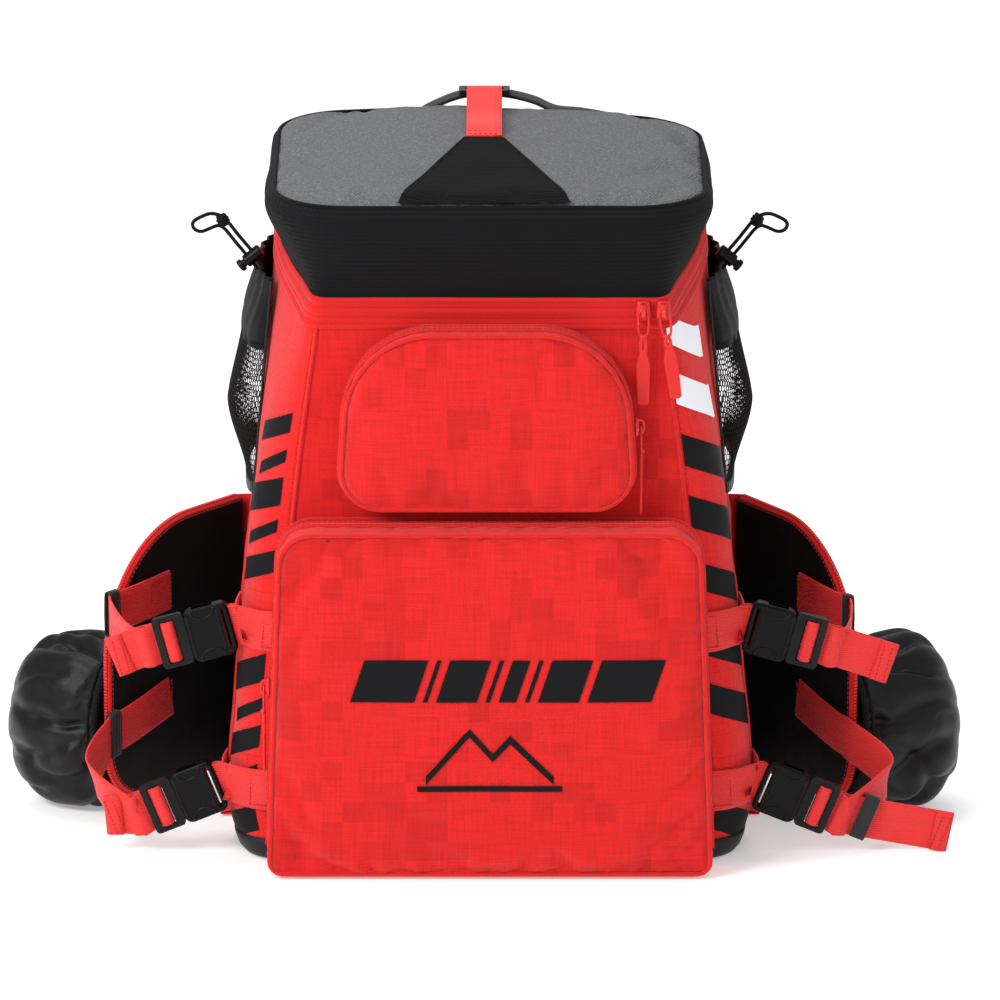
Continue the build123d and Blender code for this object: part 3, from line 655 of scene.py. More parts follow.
def nylon(name, colour, roughness=0.42):
    """Thin coated nylon: soft shine, fine crinkles at two sizes."""
    n = Nodes(name)
    crinkle = n.math("ABSOLUTE", n.math("SUBTRACT", n.noise(0.05, 2.0, roughness=0.45), 0.5))
    fine = n.noise(0.012, 2.0)
    height = n.math("ADD", n.math("MULTIPLY", crinkle, 2.0), n.math("MULTIPLY", fine, 0.12))
    grid = n.math("MULTIPLY", n.wave((1, 1, 0), 0.0011), n.wave((0, 0, 1), 0.0011))
    normal = n.bump(grid, 0.00008, 0.5, n.bump(height, 0.004, 0.6))
    base = n.mix(fine, colour, darker(colour, 0.55))
    return n.finish(base, normal, roughness, Sheen_Weight=0.01, Sheen_Roughness=0.3,
                    Specular_IOR_Level=0.22)


def plastic(name, colour, roughness=0.38, shine=0.3):
    """Moulded plastic: spark-eroded grain, and a painted highlight that makes its sharp edges a little
    brighter.
    """
    n = Nodes(name)
    grain = n.noise(0.0007, 2.0)
    # Painted highlight: the sharp edges are painted a little brighter, as if they caught the light.
    pointiness = n.node("ShaderNodeNewGeometry").outputs["Pointiness"]
    edge = n.math("MULTIPLY", n.math("SUBTRACT", pointiness, 0.52), 5.0)
    edge_highlight_share = n.math("MINIMUM", n.math("MAXIMUM", edge, 0.0), 0.35)
    # The painted highlight is mixed in here: paler colour on the sharp edges.
    base = n.mix(edge_highlight_share, colour, tuple(min(1.0, c * 3 + 0.02) for c in colour))
    rough = n.math("MULTIPLY_ADD", n.noise(0.01, 3.0), 0.18, roughness - 0.09)
    return n.finish(base, n.bump(grain, 0.00006, 0.5), rough, Specular_IOR_Level=shine)


def enamel(name, colour):
    """Enamelled metal with small chips of wear."""
    n = Nodes(name)
    chip = n.math("GREATER_THAN", n.noise(0.0022, 4.0), 0.69)
    base = n.mix(n.math("MULTIPLY", chip, 0.6), colour, (0.55, 0.5, 0.48))
    rough = n.math("MULTIPLY_ADD", n.noise(0.004), 0.25, 0.2)
    return n.finish(base, n.bump(n.noise(0.0015), 0.00005), rough, Metallic=0.25)


def spacer_mesh(name, colour):
    """Three-dimensional padding mesh: rows of small round dimples, each painted darker towards its middle
    as painted shade.
    """
    n = Nodes(name)
    cells = n.node("ShaderNodeTexVoronoi")
    cells.inputs["Scale"].default_value = 300
    cells.inputs["Randomness"].default_value = 0.15
    n.tree.links.new(n.place, cells.inputs["Vector"])
    dimple_and_shade = cells.outputs["Distance"]
    # Painted shade: each dimple is painted darker towards its middle, where shade falls in the hole.
    base = n.mix(n.math("MULTIPLY", dimple_and_shade, 1.2), darker(colour, 0.35), colour)
    normal = n.bump(dimple_and_shade, 0.0009, 0.9, n.bump(n.noise(0.04), 0.0015))
    return n.finish(base, normal, 0.9, Sheen_Weight=0.35)


# Square size of the printed camouflage, in metres
CAMO = 0.0145
RED = (0.86, 0.022, 0.020)
BLACK = (0.007, 0.007, 0.008)
CHARCOAL = (0.150, 0.152, 0.162)
FRONT_CLOTH = cloth("red_front", RED, (1, 0, 0), (0, 0, 1), camo=CAMO, slubs=0.55)
PLAIN_FRONT = cloth("red_plain", RED, slubs=0.45)
SIDE_CLOTH = cloth("red_side", RED, (0, 1, 0), (0, 0, 1), slubs=0.55)
DOOR_CLOTH = cloth("red_door", RED, (0.6, 0.8, 0), (0, 0, 1), camo=CAMO, slubs=0.55)
ZIP_TAPE = cloth("zip_tape", darker(RED, 0.92), pitch=0.0011, relief=0.0002, crease=0.0004)
THREAD = cloth("thread", darker(RED, 0.80), pitch=0.0006, relief=0.0001, crease=0.0)
COIL = plastic("coil", darker(RED, 0.55), 0.35)
LINING = cloth("lining", (0.005, 0.005, 0.006), pitch=0.0012, relief=0.00015, crease=0.004,
               sheen=0.03, roughness=0.6)
BLACK_RIB = cloth("black_rib", BLACK, rib=0.0032, relief=0.0004, sheen=0.02)
BLACK_CLOTH = cloth("black_cloth", BLACK, (0.7, 0.7, 0), (0, 0, 1), sheen=0.03)
LID_TOP_CLOTH = cloth("charcoal_top", CHARCOAL, (0.94, 0.34, 0), (-0.34, 0.94, 0), pitch=0.0021,
                      heather=0.26, relief=0.0005, sheen=0.05)
PATCH_CLOTH = cloth("patch", (0.004, 0.004, 0.0045), (1, 0, 0), (0, 1, 0), rib=0.0026, sheen=0.005)
BASE_CLOTH = nylon("base_tarpaulin", (0.012, 0.012, 0.013), 0.5)
NYLON = nylon("crinkle_nylon", (0.003, 0.003, 0.0035), 0.34)
NET = plastic("net_yarn", (0.006, 0.006, 0.006), 0.7, 0.08)
SHOCK = cloth("shock_cord", (0.008, 0.008, 0.009), pitch=0.0009, relief=0.00025, crease=0.0,
              sheen=0.02)
RED_WEB = webbing("red_webbing", darker(RED, 0.97))
LID_WEB = webbing("lid_webbing", RED, (1, 0, 0))
BLACK_WEB = webbing("black_webbing", (0.008, 0.008, 0.009), (1, 0, 0))
ACETAL = plastic("black_acetal", (0.0025, 0.0025, 0.003), 0.3, 0.12)
ENAMEL = enamel("red_enamel", darker(RED, 0.8))
GRIP = plastic("red_grip", darker(RED, 0.75), 0.5)
PADDING = spacer_mesh("spacer_mesh", (0.035, 0.035, 0.038))
PRINT_BLACK = plastic("print_black", (0.006, 0.006, 0.007), 0.6, 0.1)
PRINT_WHITE = plastic("print_white", (0.86, 0.87, 0.92), 0.6)
SHEET = plastic("stiffener", (0.03, 0.03, 0.032), 0.5)


# ------------------------------------------------------------------ body surface
def half_width(z):
    """Half the body's width at a height: out to the hips, then in to the neck."""
    if z < HIP_HEIGHT:
        return BASE_HALF_WIDTH + (HIP_HALF_WIDTH - BASE_HALF_WIDTH) * sin(z / HIP_HEIGHT * pi / 2)
    share = (z - HIP_HEIGHT) / (NECK_HEIGHT - HIP_HEIGHT)
    return HIP_HALF_WIDTH + (NECK_HALF_WIDTH - HIP_HALF_WIDTH) * share


def zip_z(y):
    """Height of the tilted opening that the lid closes."""
    return ZIP_HEIGHT + (y + HALF_DEPTH) * ZIP_SLOPE


# The neck's front corners are drawn in: how far, from which height up, and how far back
NECK_PINCH = 34
PINCH_LOW = 240
PINCH_DEPTH = 110
# The skin lies calm near the base and just under the opening
CALM_AT_BASE = 40
CALM_AT_ZIP = 30
# A height at which the corners keep their plain round plan
MIDDLE_HEIGHT = 100


def pinched(x, y, z, width):
    """The x of a skin point once the neck's front corners are rounded off."""
    high = min(1.0, max(0.0, (z - PINCH_LOW) / (ZIP_HEIGHT - PINCH_LOW)))
    near = max(0.0, 1 - (y + HALF_DEPTH) / PINCH_DEPTH)
    return x - NECK_PINCH * high ** 1.5 * near ** 1.6 * (x / width) ** 8


def plan_at(a, w):
    """Place and outward direction in plan, at an unsigned q, of a body with that half width."""
    cx, cy = w - CORNER, HALF_DEPTH - CORNER
    if a <= 1:
        return a * cx, -HALF_DEPTH, 0, -1
    if a <= 2:
        turn = (a - 1) * pi / 2
        return cx + CORNER * sin(turn), -cy - CORNER * cos(turn), sin(turn), -cos(turn)
    if a <= 3:
        return w, -cy + (a - 2) * 2 * cy, 1, 0
    if a <= 4:
        turn = (a - 3) * pi / 2
        return cx + CORNER * cos(turn), cy + CORNER * sin(turn), cos(turn), sin(turn)
    return cx * (5 - a), HALF_DEPTH, 0, 1


def body_point(q, z, grow=0.0):
    """A point of the body's skin. q is 0 at the front centre, 1 to 2 the front corner,
    2 to 3 the side, 3 to 4 the back corner and 5 the back centre; negative on the left."""
    side = 1 if q >= 0 else -1
    w = half_width(z)
    x, y, nx, ny = plan_at(abs(q), w)
    x = pinched(x, y, z, w)
    calm = min(1.0, z / CALM_AT_BASE) * min(1.0, max(0.0, (zip_z(y) - z) / CALM_AT_ZIP))
    soft = 1.6 * ripple((side * x, y, z), 70, 3) + 0.7 * ripple((side * x, y, z), 28, 9)
    out = grow + soft * calm
    return Vector((side * (x + nx * out), y + ny * out, z))


def body_normal(q):
    """Outward direction of the body's skin, level."""
    nx, ny = plan_at(abs(q), HIP_HALF_WIDTH)[2:]
    return Vector((nx if q >= 0 else -nx, ny, 0))


def q_at(y):
    """The q at which the body's side lies that far back; the same at every height."""
    flat = HALF_DEPTH - CORNER
    if y < -flat:
        return 1 + acos(min(1, (-y - flat) / CORNER)) / (pi / 2)
    if y <= flat:
        return 2 + (y + flat) / (2 * flat)
    return 3 + asin(min(1, (y - flat) / CORNER)) / (pi / 2)


FRONT_SEAM_Q = q_at(-114.5)
BACK_SEAM_Q = q_at(100)
BACK_CENTRE_Q = 4.999
SKIN_FOOT = 4
SKIN_UNDER_ZIP = 1.2
SEAM_FOOT, SEAM_UNDER_ZIP = 8, 22


def all_round(count):
    """The q values once round the body, from the front centre."""
    return [*even(0, BACK_CENTRE_Q, count), *even(-BACK_CENTRE_Q, 0, count)[1:-1]]


def plan_y(q):
    """How far back the skin lies at q."""
    return body_point(q, MIDDLE_HEIGHT).y


def on_side(side, forward, z, grow=0.0):
    """A point of the side's skin from how far forward and how high it lies."""
    return body_point(side * q_at(-forward), z, grow)


def skin(q_list, count):
    """Rows of skin points from the foot up to just under the lid's opening."""
    result = []
    for k in range(count + 1):
        row = []
        for q in q_list:
            height = zip_z(plan_y(q)) - SKIN_UNDER_ZIP - SKIN_FOOT
            row.append(body_point(q, SKIN_FOOT + height * k / count))
        result.append(row)
    return result


def seam(name, q):
    """A piped seam up the body at q, with a row of stitches on its outer side."""
    heights = even(SEAM_FOOT, zip_z(plan_y(q)) - SEAM_UNDER_ZIP, 90)
    shape = Shape()
    shape.tube([body_point(q, z, 0.4) for z in heights], 1.5)
    beside = q + (0.06 if q > 0 else -0.06)
    shape.stitches([body_point(beside, z, 0.1) for z in heights], body_normal(beside), slot=1)
    shape.piece(name, [PLAIN_FRONT, THREAD], "root", slot="red_ripstop")


# ------------------------------------------------------------------ free cords
# The right pocket's cord: up from the collar, through the knot, out round its loop and back down
CORD_ROUTE = (
    (157.5, -20, 401.5), (163.0, -20, 412.0), (173.5, -21, 424.5), (184.0, -20, 438.5),
    (193.0, -19, 441.5), (200.0, -20, 439.0), (206.5, -21, 435.5), (206.0, -21, 430.5),
    (200.5, -22, 428.0), (193.8, -21, 431.0), (186.3, -20, 433.6), (177.0, -21, 421.5),
    (166.8, -20, 409.0), (161.3, -20, 401.5),
)
CORD_DIAMETER = 0.0026
KNOT_TURNS = 3.2
KNOT_RADIUS = 3.4
KNOT_LENGTH = 7.2
KNOT_WRAP_RADIUS, KNOT_CORE_RADIUS = 1.35, 2.4


def make_knot(side, name):
    """The wrapped knot that ties the cord's two runs together."""
    low, high = cad(f"{name}_cord_knot")
    centre = (low + high) / 2
    axis = Vector((side * 0.5, 0, 0.866))
    across = Vector((0, 1, 0))
    third = axis.cross(across)
    helix = []
    for share in even(0, 1, 89):
        turn = 2 * pi * KNOT_TURNS * share
        swell = KNOT_RADIUS * (0.72 + 0.28 * sin(pi * share))
        helix.append(centre + axis * (share - 0.5) * KNOT_LENGTH
                     + (across * cos(turn) + third * sin(turn)) * swell)
    wraps = Shape()
    wraps.tube(helix, KNOT_WRAP_RADIUS)
    wraps.tube([centre + axis * d for d in (-4.2, -2, 0, 2, 4.2)], KNOT_CORE_RADIUS, 10)
    return wraps.piece(f"{name}_knot_wraps", SHOCK, "root", (f"{name}_cord_knot",), "shock_cord")


def make_drawcord(side, name):
    """The doubled shock cord of a mesh pocket, with its wrapped knot."""
    points = [Vector((side * x, y, z)) * MM for x, y, z in CORD_ROUTE]
    curve = bpy.data.curves.new(f"{name}_shock_cord", "CURVE")
    curve.dimensions = "3D"
    spline = curve.splines.new("NURBS")
    spline.points.add(len(points) - 1)
    for place, point in zip(spline.points, points):
        place.co = (*point, 1)
    spline.order_u = 3
    spline.use_endpoint_u = True
    spline.resolution_u = 8
    line = bpy.data.objects.new("line", curve)
    bpy.context.scene.collection.objects.link(line)
    path = [v.co.copy() for v in bpy.data.meshes.new_from_object(line).vertices]
    curve.bevel_depth = CORD_DIAMETER / 2
    curve.bevel_resolution = 3
    curve.use_fill_caps = True
    curve.materials.append(SHOCK)
    line.name = f"{name}_shock_cord"
    knot = make_knot(side, name)
    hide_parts(f"{name}_drawcord")
    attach(line, "root")


for side, name in SIDES:
    make_drawcord(side, name)


# ------------------------------------------------------------------ body panels
def make_front_panel():
    """The red front, between its two front seams."""
    q_list = even(-FRONT_SEAM_Q, FRONT_SEAM_Q, 96)
    shape = Shape()
    shape.rows(skin(q_list, 100))
    front = shape.piece("front_cloth", [FRONT_CLOTH, LINING], "root", ("front_panel",), "red_ripstop")
    thicken(front, 3.5, 1)


def make_back_panel():
    """The black back, between the two back seams."""
    right, left = even(BACK_SEAM_Q, BACK_CENTRE_Q, 40), even(-BACK_CENTRE_Q, -BACK_SEAM_Q, 40)
    shape = Shape()
    shape.rows(skin([*right, *left[1:]], 80))
    back = shape.piece("back_cloth", [BLACK_CLOTH, LINING], "root", ("back_panel",), "black_polyester")
    thicken(back, 4, 1)


# The doorway's outline as (forward, up): straight at the back, rounded at the front
DOORWAY_GAP = 3
DOORWAY_BACK, DOORWAY_FRONT = -98, DOOR_REACH - 99
DOORWAY_LOW, DOORWAY_HIGH = DOOR_LOW - DOORWAY_GAP, DOOR_HIGH + DOORWAY_GAP
DOORWAY = rounded([(DOORWAY_BACK, DOORWAY_LOW, 3), (DOORWAY_FRONT, DOORWAY_LOW, 40),
                   (DOORWAY_FRONT, DOORWAY_HIGH, 93), (DOORWAY_BACK, DOORWAY_HIGH, 3)], 2.5)


def inside_outline(point, outline):
    """Whether a 2D point is inside a closed outline."""
    inside = False
    for a, b in zip(outline, outline[1:] + outline[:1]):
        if (a.y > point.y) != (b.y > point.y):
            if point.x < a.x + (point.y - a.y) * (b.x - a.x) / (b.y - a.y):
                inside = not inside
    return inside


def make_side_panel(side, name):
    """One red side with its doorway cut in it, its rim drawn onto the doorway's outline."""
    shape = Shape()
    shape.rows(skin([side * q for q in even(FRONT_SEAM_Q, BACK_SEAM_Q, 76)], 150))
    kept, gone = [], []
    for face in shape.faces:
        middle = sum((shape.points[i] for i in face), Vector()) / 4
        inside = inside_outline(Vector((-middle.y, middle.z)), DOORWAY)
        (gone if inside else kept).append(face)
    rim = {i for face in gone for i in face} & {i for face in kept for i in face}
    for i in rim:
        here = Vector((-shape.points[i].y, shape.points[i].z))
        near = min(DOORWAY, key=lambda p: (p - here).length)
        shape.points[i] = on_side(side, near.x, near.y)
    used = sorted({i for face in kept for i in face})
    number = {old: new for new, old in enumerate(used)}
    shape.points = [shape.points[i] for i in used]
    shape.faces = [tuple(number[i] for i in face) for face in kept]
    shape.slots = [0] * len(kept)
    panel = shape.piece(f"{name}_side_cloth", [SIDE_CLOTH, LINING], "root",
                        (f"{name}_side_panel",), "red_ripstop")
    thicken(panel, 3.5, 1)


def beside(side, path, offset, grow, floor=4):
    """A line on the side's skin at an offset to the left of a (forward, up) path."""
    line = []
    for p, ahead in zip(path, directions([p.to_3d() for p in path])):
        here = p + Vector((-ahead.y, ahead.x)) * offset
        line.append(on_side(side, here.x, max(here.y, floor), grow))
    return line


# The doorway's zip tape: how far each line lies inside the doorway's edge (minus is outside),
# and its height off the skin
DOORWAY_TAPE = ((-7.5, 0.3), (-6.5, 1.2), (-4, 1.6), (-1.5, 1.6), (0, 1.2), (0.5, 0.2))


def make_doorway_zip(side, name):
    """Zip tape with its coil round a doorway."""
    path = after_gap([p for p in DOORWAY if p.x > DOORWAY_BACK + 6], lambda p: p)
    shape = Shape()
    shape.rows([beside(side, path, offset, grow, 3) for offset, grow in DOORWAY_TAPE])
    coil = resample(beside(side, path, 0, 1.2), 2.4)
    for point, ahead in zip(coil, directions(coil)):
        shape.block(point, ahead.cross(Vector((side, 0, 0))), (side, 0, 0), (3.2, 1.5, 1.5), slot=1)
    shape.stitches(beside(side, path, -4.6, 1.5), (side, 0, 0), slot=2)
    nodes = ("door_zips",) if side == 1 else ()
    shape.piece(f"{name}_doorway_zip", [ZIP_TAPE, COIL, THREAD], "root", nodes, "zip_tape_red")


def base_height(q):
    """Top of the coated base: level round the corners, lower under the two doorways."""
    middle, half = -(DOORWAY_FRONT + DOORWAY_BACK) / 2, (DOORWAY_FRONT - DOORWAY_BACK) / 2
    low = DOORWAY_LOW - 1
    rise = min(1, max(0, (abs(body_point(q, 10).y - middle) - half) / 14))
    return low + (BASE_HEIGHT - low) * rise


def make_base():
    """The coated base with a rolled edge."""
    shape = Shape()
    q_list = all_round(100)
    rings = []
    for grow, share in ((1.0, 1), (1.6, 0.75), (1.4, 0.32)):
        rings.append([body_point(q, base_height(q) * share, grow) for q in q_list])
    for grow, z in ((-0.5, 1.2), (-4, 0.2), (-30, 0.2), (-80, 0.2)):
        rings.append([body_point(q, z, grow) for q in q_list])
    shape.rows(rings, loop=True)
    shape.cap(rings[-1])
    base = shape.piece("base_shell", BASE_CLOTH, "root", ("base_panel",), "base_tarpaulin")
    thicken(base, 1.2)


# The band round the opening as (drop below it, height off the skin): welt, tape, lower tape
MAIN_WELT = ((0.8, -1.5), (0.8, 0.8), (2.2, 1.9), (4.0, 1.7), (5.0, 0.6))
MAIN_TAPE = ((5.0, 0.6), (8.8, 0.7), (9.6, 1.5), (10.2, 1.7), (10.8, 0.9))
LOWER_TAPE = ((10.8, 0.9), (11.4, 1.7), (12.0, 1.5), (12.8, 0.7), (19.5, 0.8), (20.5, 1.7),
              (22, 1.6), (23, 0.1))
MAIN_COIL_DROP = 10.8
# Drop and height of the band's four rows of stitches
MAIN_STITCHES = ((3.4, 1.9), (7.2, 0.9), (14.5, 0.9), (18.4, 0.9))


def make_main_zip():
    """The zip round the body under the lid: welt, two tapes, coil line and stitching."""
    q_list = all_round(150)

    def level(drop, grow):
        """A line round the body at a drop below the opening."""
        return [body_point(q, zip_z(plan_y(q)) - drop, grow) for q in q_list]

    shape = Shape()
    for band in (MAIN_WELT, MAIN_TAPE, LOWER_TAPE):
        shape.rows([level(*each) for each in band], loop=True)
    coil = level(MAIN_COIL_DROP, 1.2)
    shape.teeth([*coil, coil[0]], 1.9, Vector((0, -sin(ZIP_TILT), cos(ZIP_TILT))), (1.5, 1.0, 0.9))
    for drop, grow in MAIN_STITCHES:
        line = level(drop, grow)
        shape.stitches([*line, line[0]], lambda p: Vector((p.x, p.y * 0.6, 0)).normalized(), slot=2)
    shape.piece("main_zip_band", [ZIP_TAPE, COIL, THREAD], "root", ("main_zip",), "zip_tape_red")


make_front_panel()
make_back_panel()
for side, name in SIDES:
    make_side_panel(side, name)
    seam(f"{name}_front_seam", side * FRONT_SEAM_Q)
    seam(f"{name}_back_seam", side * BACK_SEAM_Q)
for side, name in SIDES:
    make_doorway_zip(side, name)
make_base()
make_main_zip()


# ------------------------------------------------------------------ printed marks
# Top, height and slot (0 black, 1 white) of the bars up the right side
RIGHT_BARS = ((394, 22, 1), (352, 23, 1), (308, 23, 0), (264, 23, 0), (217, 20, 0), (172, 22, 0),
              (130, 22, 0), (44, 20, 0))
# Top, height and rear end's q of the bars up the left side
LEFT_BARS = ((322, 14, 2.0), (296, 9, 1.8), (276, 20, 2.1), (246, 9, 1.8), (224, 16, 2.0),
             (150, 20, 1.9), (118, 9, 1.8), (98, 16, 1.95), (70, 9, 1.8), (40, 18, 2.0))


def print_bar(shape, side, q_front, q_back, top, height, drop, slot=0):
    """A slanted bar printed on a side of the body, from the front seam back."""
    rows = []
    for down in even(0, height, 6):
        row = []
        for share in even(0, 1, 20):
            z = top - drop * share - down
            row.append(body_point(side * (q_front + (q_back - q_front) * share), z, 0.45))
        rows.append(row)
    shape.rows(rows, slot=slot)


def make_side_prints():
    """White and black slanted bars up the right side, black bars up the left."""
    right = Shape()
    for top, height, slot in RIGHT_BARS:
        print_bar(right, 1, 1.16, 2.06, top, height, drop=20, slot=slot)
    right.piece("right_bars", [PRINT_BLACK, PRINT_WHITE], "root", slot="red_ripstop", merge=False)
    left = Shape()
    for top, height, q_back in LEFT_BARS:
        print_bar(left, -1, 1.3, q_back, top, height, drop=14)
    left.piece("left_bars", [PRINT_BLACK], "root", slot="red_ripstop", merge=False)


make_side_prints()


# ------------------------------------------------------------------ front pockets
# The pocket zip's tape as (distance from its coil, height off the gusset)
POCKET_TAPE = ((-6, 0.4), (-5.4, 2.0), (-1.0, 2.2), (-0.6, 1.2), (0.6, 1.2), (1.0, 2.2), (5.4, 2.0),
               (6, 0.4))


def make_pocket_face(name, outline, front, crown, seed):
    """The pocket's face: cloth crowned over its outline, and wrinkled by its slack."""
    edge = [p - n * 2.5 for p, n in with_normals(outline)]
    gap = edge_finder(edge)
    wide = max(p.x for p in edge) - min(p.x for p in edge)
    tall = max(p.y for p in edge) - min(p.y for p in edge)
    rows = []
    for level in fill(edge, round(wide / 4.6), round(tall / 3.8)):
        row = []
        for p in level:
            inside = min(1, gap(p.x, p.y) / 70)
            bulge = crown * (1 - (1 - inside) ** 2.6)
            wave = 1.3 * ripple((p.x, 0, p.y), 46, seed) + 0.6 * ripple((p.x, 0, p.y), 17, seed + 5)
            row.append(Vector((p.x, front + 1.5 - bulge - wave * min(1, inside * 4), p.y)))
        rows.append(row)
    shape = Shape()
    shape.rows(rows)
    face = shape.piece(f"{name}_face_cloth", [FRONT_CLOTH, LINING], "root", (f"{name}_pocket_face",),
                       "red_ripstop", merge=False)
    crumple(face, lambda p: gap(p.x, p.z) < 1.5, slack=0.035, pressure=0.6, limit=4)
    thicken(face, 2.2, 1)
    return face


def make_pocket_gusset(name, outline, front, seed, pucker):
    """The pocket's side wall, puckered by its seams and swelling in the middle."""
    y_front = front + 2.5
    y_back = 1.5 - HALF_DEPTH
    rows = []
    for share in even(0, 1, 14):
        y = y_front + (y_back - front - 2.5) * share
        row = []
        for i, (p, n) in enumerate(with_normals(outline)):
            phase = i * 1.35 + 3 * ripple((p.x, y, p.y), 40, seed)
            wave = pucker * sin(phase) * sin(pi * share) ** 0.5
            swell = 1.6 * sin(pi * share) + wave + 0.5 * ripple((p.x, y, p.y), 25, seed + 2)
            here = p + n * (swell - 1.0)
            row.append(Vector((here.x, y, max(here.y, 1.2))))
        rows.append(row)
    gusset = Shape()
    gusset.rows(rows, loop=True)
    piece = gusset.piece(f"{name}_gusset_cloth", [PLAIN_FRONT, LINING], "root",
                         (f"{name}_pocket_gusset",), "red_ripstop")
    thicken(piece, 1.8, 1)


def make_pocket_piping(name, outline, front):
    """Piping round the pocket's face and where its gusset meets the front panel."""
    edges = with_normals(outline)
    face = [Vector((p.x - n.x * 1.2, front + 1.8, p.y - n.y * 1.2)) for p, n in edges]
    foot = [Vector((p.x + n.x * 0.2, -HALF_DEPTH - 0.8, max(p.y + n.y * 0.2, 1.8))) for p, n in edges]
    trim = Shape()
    trim.tube(face, 1.7, closed=True)
    trim.tube(foot, 1.5, closed=True)
    trim.piece(f"{name}_piping", [PLAIN_FRONT], "root", slot="red_ripstop")


def make_pocket_zip(name, outline, zip_back):
    """The zip over the pocket's top and down its sides."""
    centre = sum(outline, Vector((0, 0))) / len(outline)
    low = min(p.y for p in outline)
    edges = [(p, n) for p, n in with_normals(outline) if p.y > low + 15]
    edges = after_gap(edges, lambda edge: edge[0])
    coil_y = -HALF_DEPTH - zip_back - 3.5

    def line(along, out):
        """A line beside the coil, out from the gusset."""
        return [Vector((p.x + n.x * out, coil_y + along, p.y + n.y * out)) for p, n in edges]

    shape = Shape()
    shape.rows([line(*each) for each in POCKET_TAPE])
    shape.teeth(line(0, 1.6), 1.8, (0, 1, 0), (1.8, 0.9, 0.9))
    for along in (-4, 4):
        middle = Vector((centre.x, coil_y + along, centre.y))
        shape.stitches(line(along, 2.2), lambda q: (q - middle).normalized(), slot=2)
    shape.piece(f"{name}_zip_tape", [ZIP_TAPE, COIL, THREAD], "root", (f"{name}_pocket_zip",),
                "zip_tape_red")


def make_pocket(name, outline, front, crown, zip_back, seed, pucker=0.5):
    """A front pocket: crowned face, gusset, piped edges and its zip."""
    face = make_pocket_face(name, outline, front, crown, seed)
    make_pocket_gusset(name, outline, front, seed, pucker)
    make_pocket_piping(name, outline, front)
    make_pocket_zip(name, outline, zip_back)
    return face


lower_low, lower_high = cad("lower_pocket_face")
LOWER_OUTLINE = rounded([(-154, lower_low.z, 10), (154, lower_low.z, 10),
                         (145, lower_high.z, 24), (-145, lower_high.z, 24)], 4)
UPPER_OUTLINE = rounded([(-105, 259, 28), (101, 259, 28), (92, 384, 62), (-96, 384, 62)], 3)
lower_face = make_pocket("lower", LOWER_OUTLINE, POCKET_FRONT, crown=5.5, zip_back=14, seed=1)
make_pocket("upper", UPPER_OUTLINE, UPPER_FRONT, crown=4.5, zip_back=8, seed=4, pucker=0.3)

# The device on the lower pocket: slanted bars, each a width and the gap after it, and a ridge line
MARK_LEFT, MARK_LOW, MARK_HIGH, MARK_SLANT = -96, 130, 160, 10
WIDE, MIDDLE, NARROW, THIN = (44, 6), (28, 6), (12, 6), (3, 6)
MARK_BARS = (WIDE, THIN, MIDDLE, THIN, NARROW, THIN, MIDDLE, WIDE)
RIDGE = ((-44, 74), (-14, 108), (2, 90), (14, 103), (44, 74))
RIDGE_HALF = 3
GROUND_HALF, GROUND_LOW, GROUND_HIGH = 50, 66, 70


def make_front_print():
    """A generic device on the lower pocket: a row of slanted bars over a plain peak."""
    tree = surface_tree(lower_face)
    shape = Shape()

    def bar(corners):
        """A four-sided mark laid on the pocket's cloth."""
        a, b, c, d = (Vector(p) for p in corners)
        rows = []
        for up in even(0, 1, 8):
            row = []
            for along in even(0, 1, 12):
                here = a.lerp(b, along).lerp(d.lerp(c, along), up)
                y = hit_y(tree, here.x, here.y, POCKET_FRONT - 4) - 0.7
                row.append(Vector((here.x, y, here.y)))
            rows.append(row)
        shape.rows(rows)

    x = MARK_LEFT
    for width, gap in MARK_BARS:
        bar([(x, MARK_LOW), (x + width, MARK_LOW), (x + width + MARK_SLANT, MARK_HIGH),
             (x + MARK_SLANT, MARK_HIGH)])
        x += width + gap
    for (x0, z0), (x1, z1) in zip(RIDGE, RIDGE[1:]):
        bar([(x0, z0 - RIDGE_HALF), (x1, z1 - RIDGE_HALF), (x1, z1 + RIDGE_HALF), (x0, z0 + RIDGE_HALF)])
    bar([(-GROUND_HALF, GROUND_LOW), (GROUND_HALF, GROUND_LOW), (GROUND_HALF, GROUND_HIGH),
         (-GROUND_HALF, GROUND_HIGH)])
    shape.piece("front_mark", [PRINT_BLACK], "root", slot="red_ripstop", merge=False)


make_front_print()


# ------------------------------------------------------------------ lid
LID_TILT = tan(radians(4))
LID_FRONT_TOP = 470
# How far the band stands out from the rim, from the piped edge (0) down to the zip (1)
LID_BAND_PROFILE = ((0, 0, 0), (0.05, 2.6, 0), (0.14, 5.2, 0), (0.3, 6.2, 0), (0.5, 5.0, 0), (0.7, 2.8, 0),
                    (0.86, 0.4, 0), (1, -2.2, 0))
# Share of the band's height at which it starts to draw in to the body's opening
BAND_TAPER = 0.15
LID_RIM = rounded([(-151, -120, 54), (151, -120, 54), (151, 119, 46), (-151, 119, 46)], 4)
LID_EDGES = with_normals(LID_RIM)
# The strap's middle, the patch's ends in Y and its half width at each
STRAP_X = -4
PATCH_FRONT, PATCH_BACK = -117.5, 16
PATCH_HALF_FRONT, PATCH_HALF_BACK = 60, 14
STRAP_FOOT = 17
LID_STRAP_WIDTH = 25


def lid_top_z(x, y):
    """Height of the lid's piped edge: tilted back, and sagging at the back's corners, most
    of all to the right."""
    back = (y + HALF_DEPTH) / (2 * HALF_DEPTH)
    across = x / 150
    sag = -back * (3.6 * across + 6.0 * across * across) + 1.3 * ripple((x, y, 0), 90, 11)
    return LID_FRONT_TOP + (y + HALF_DEPTH) * LID_TILT + sag


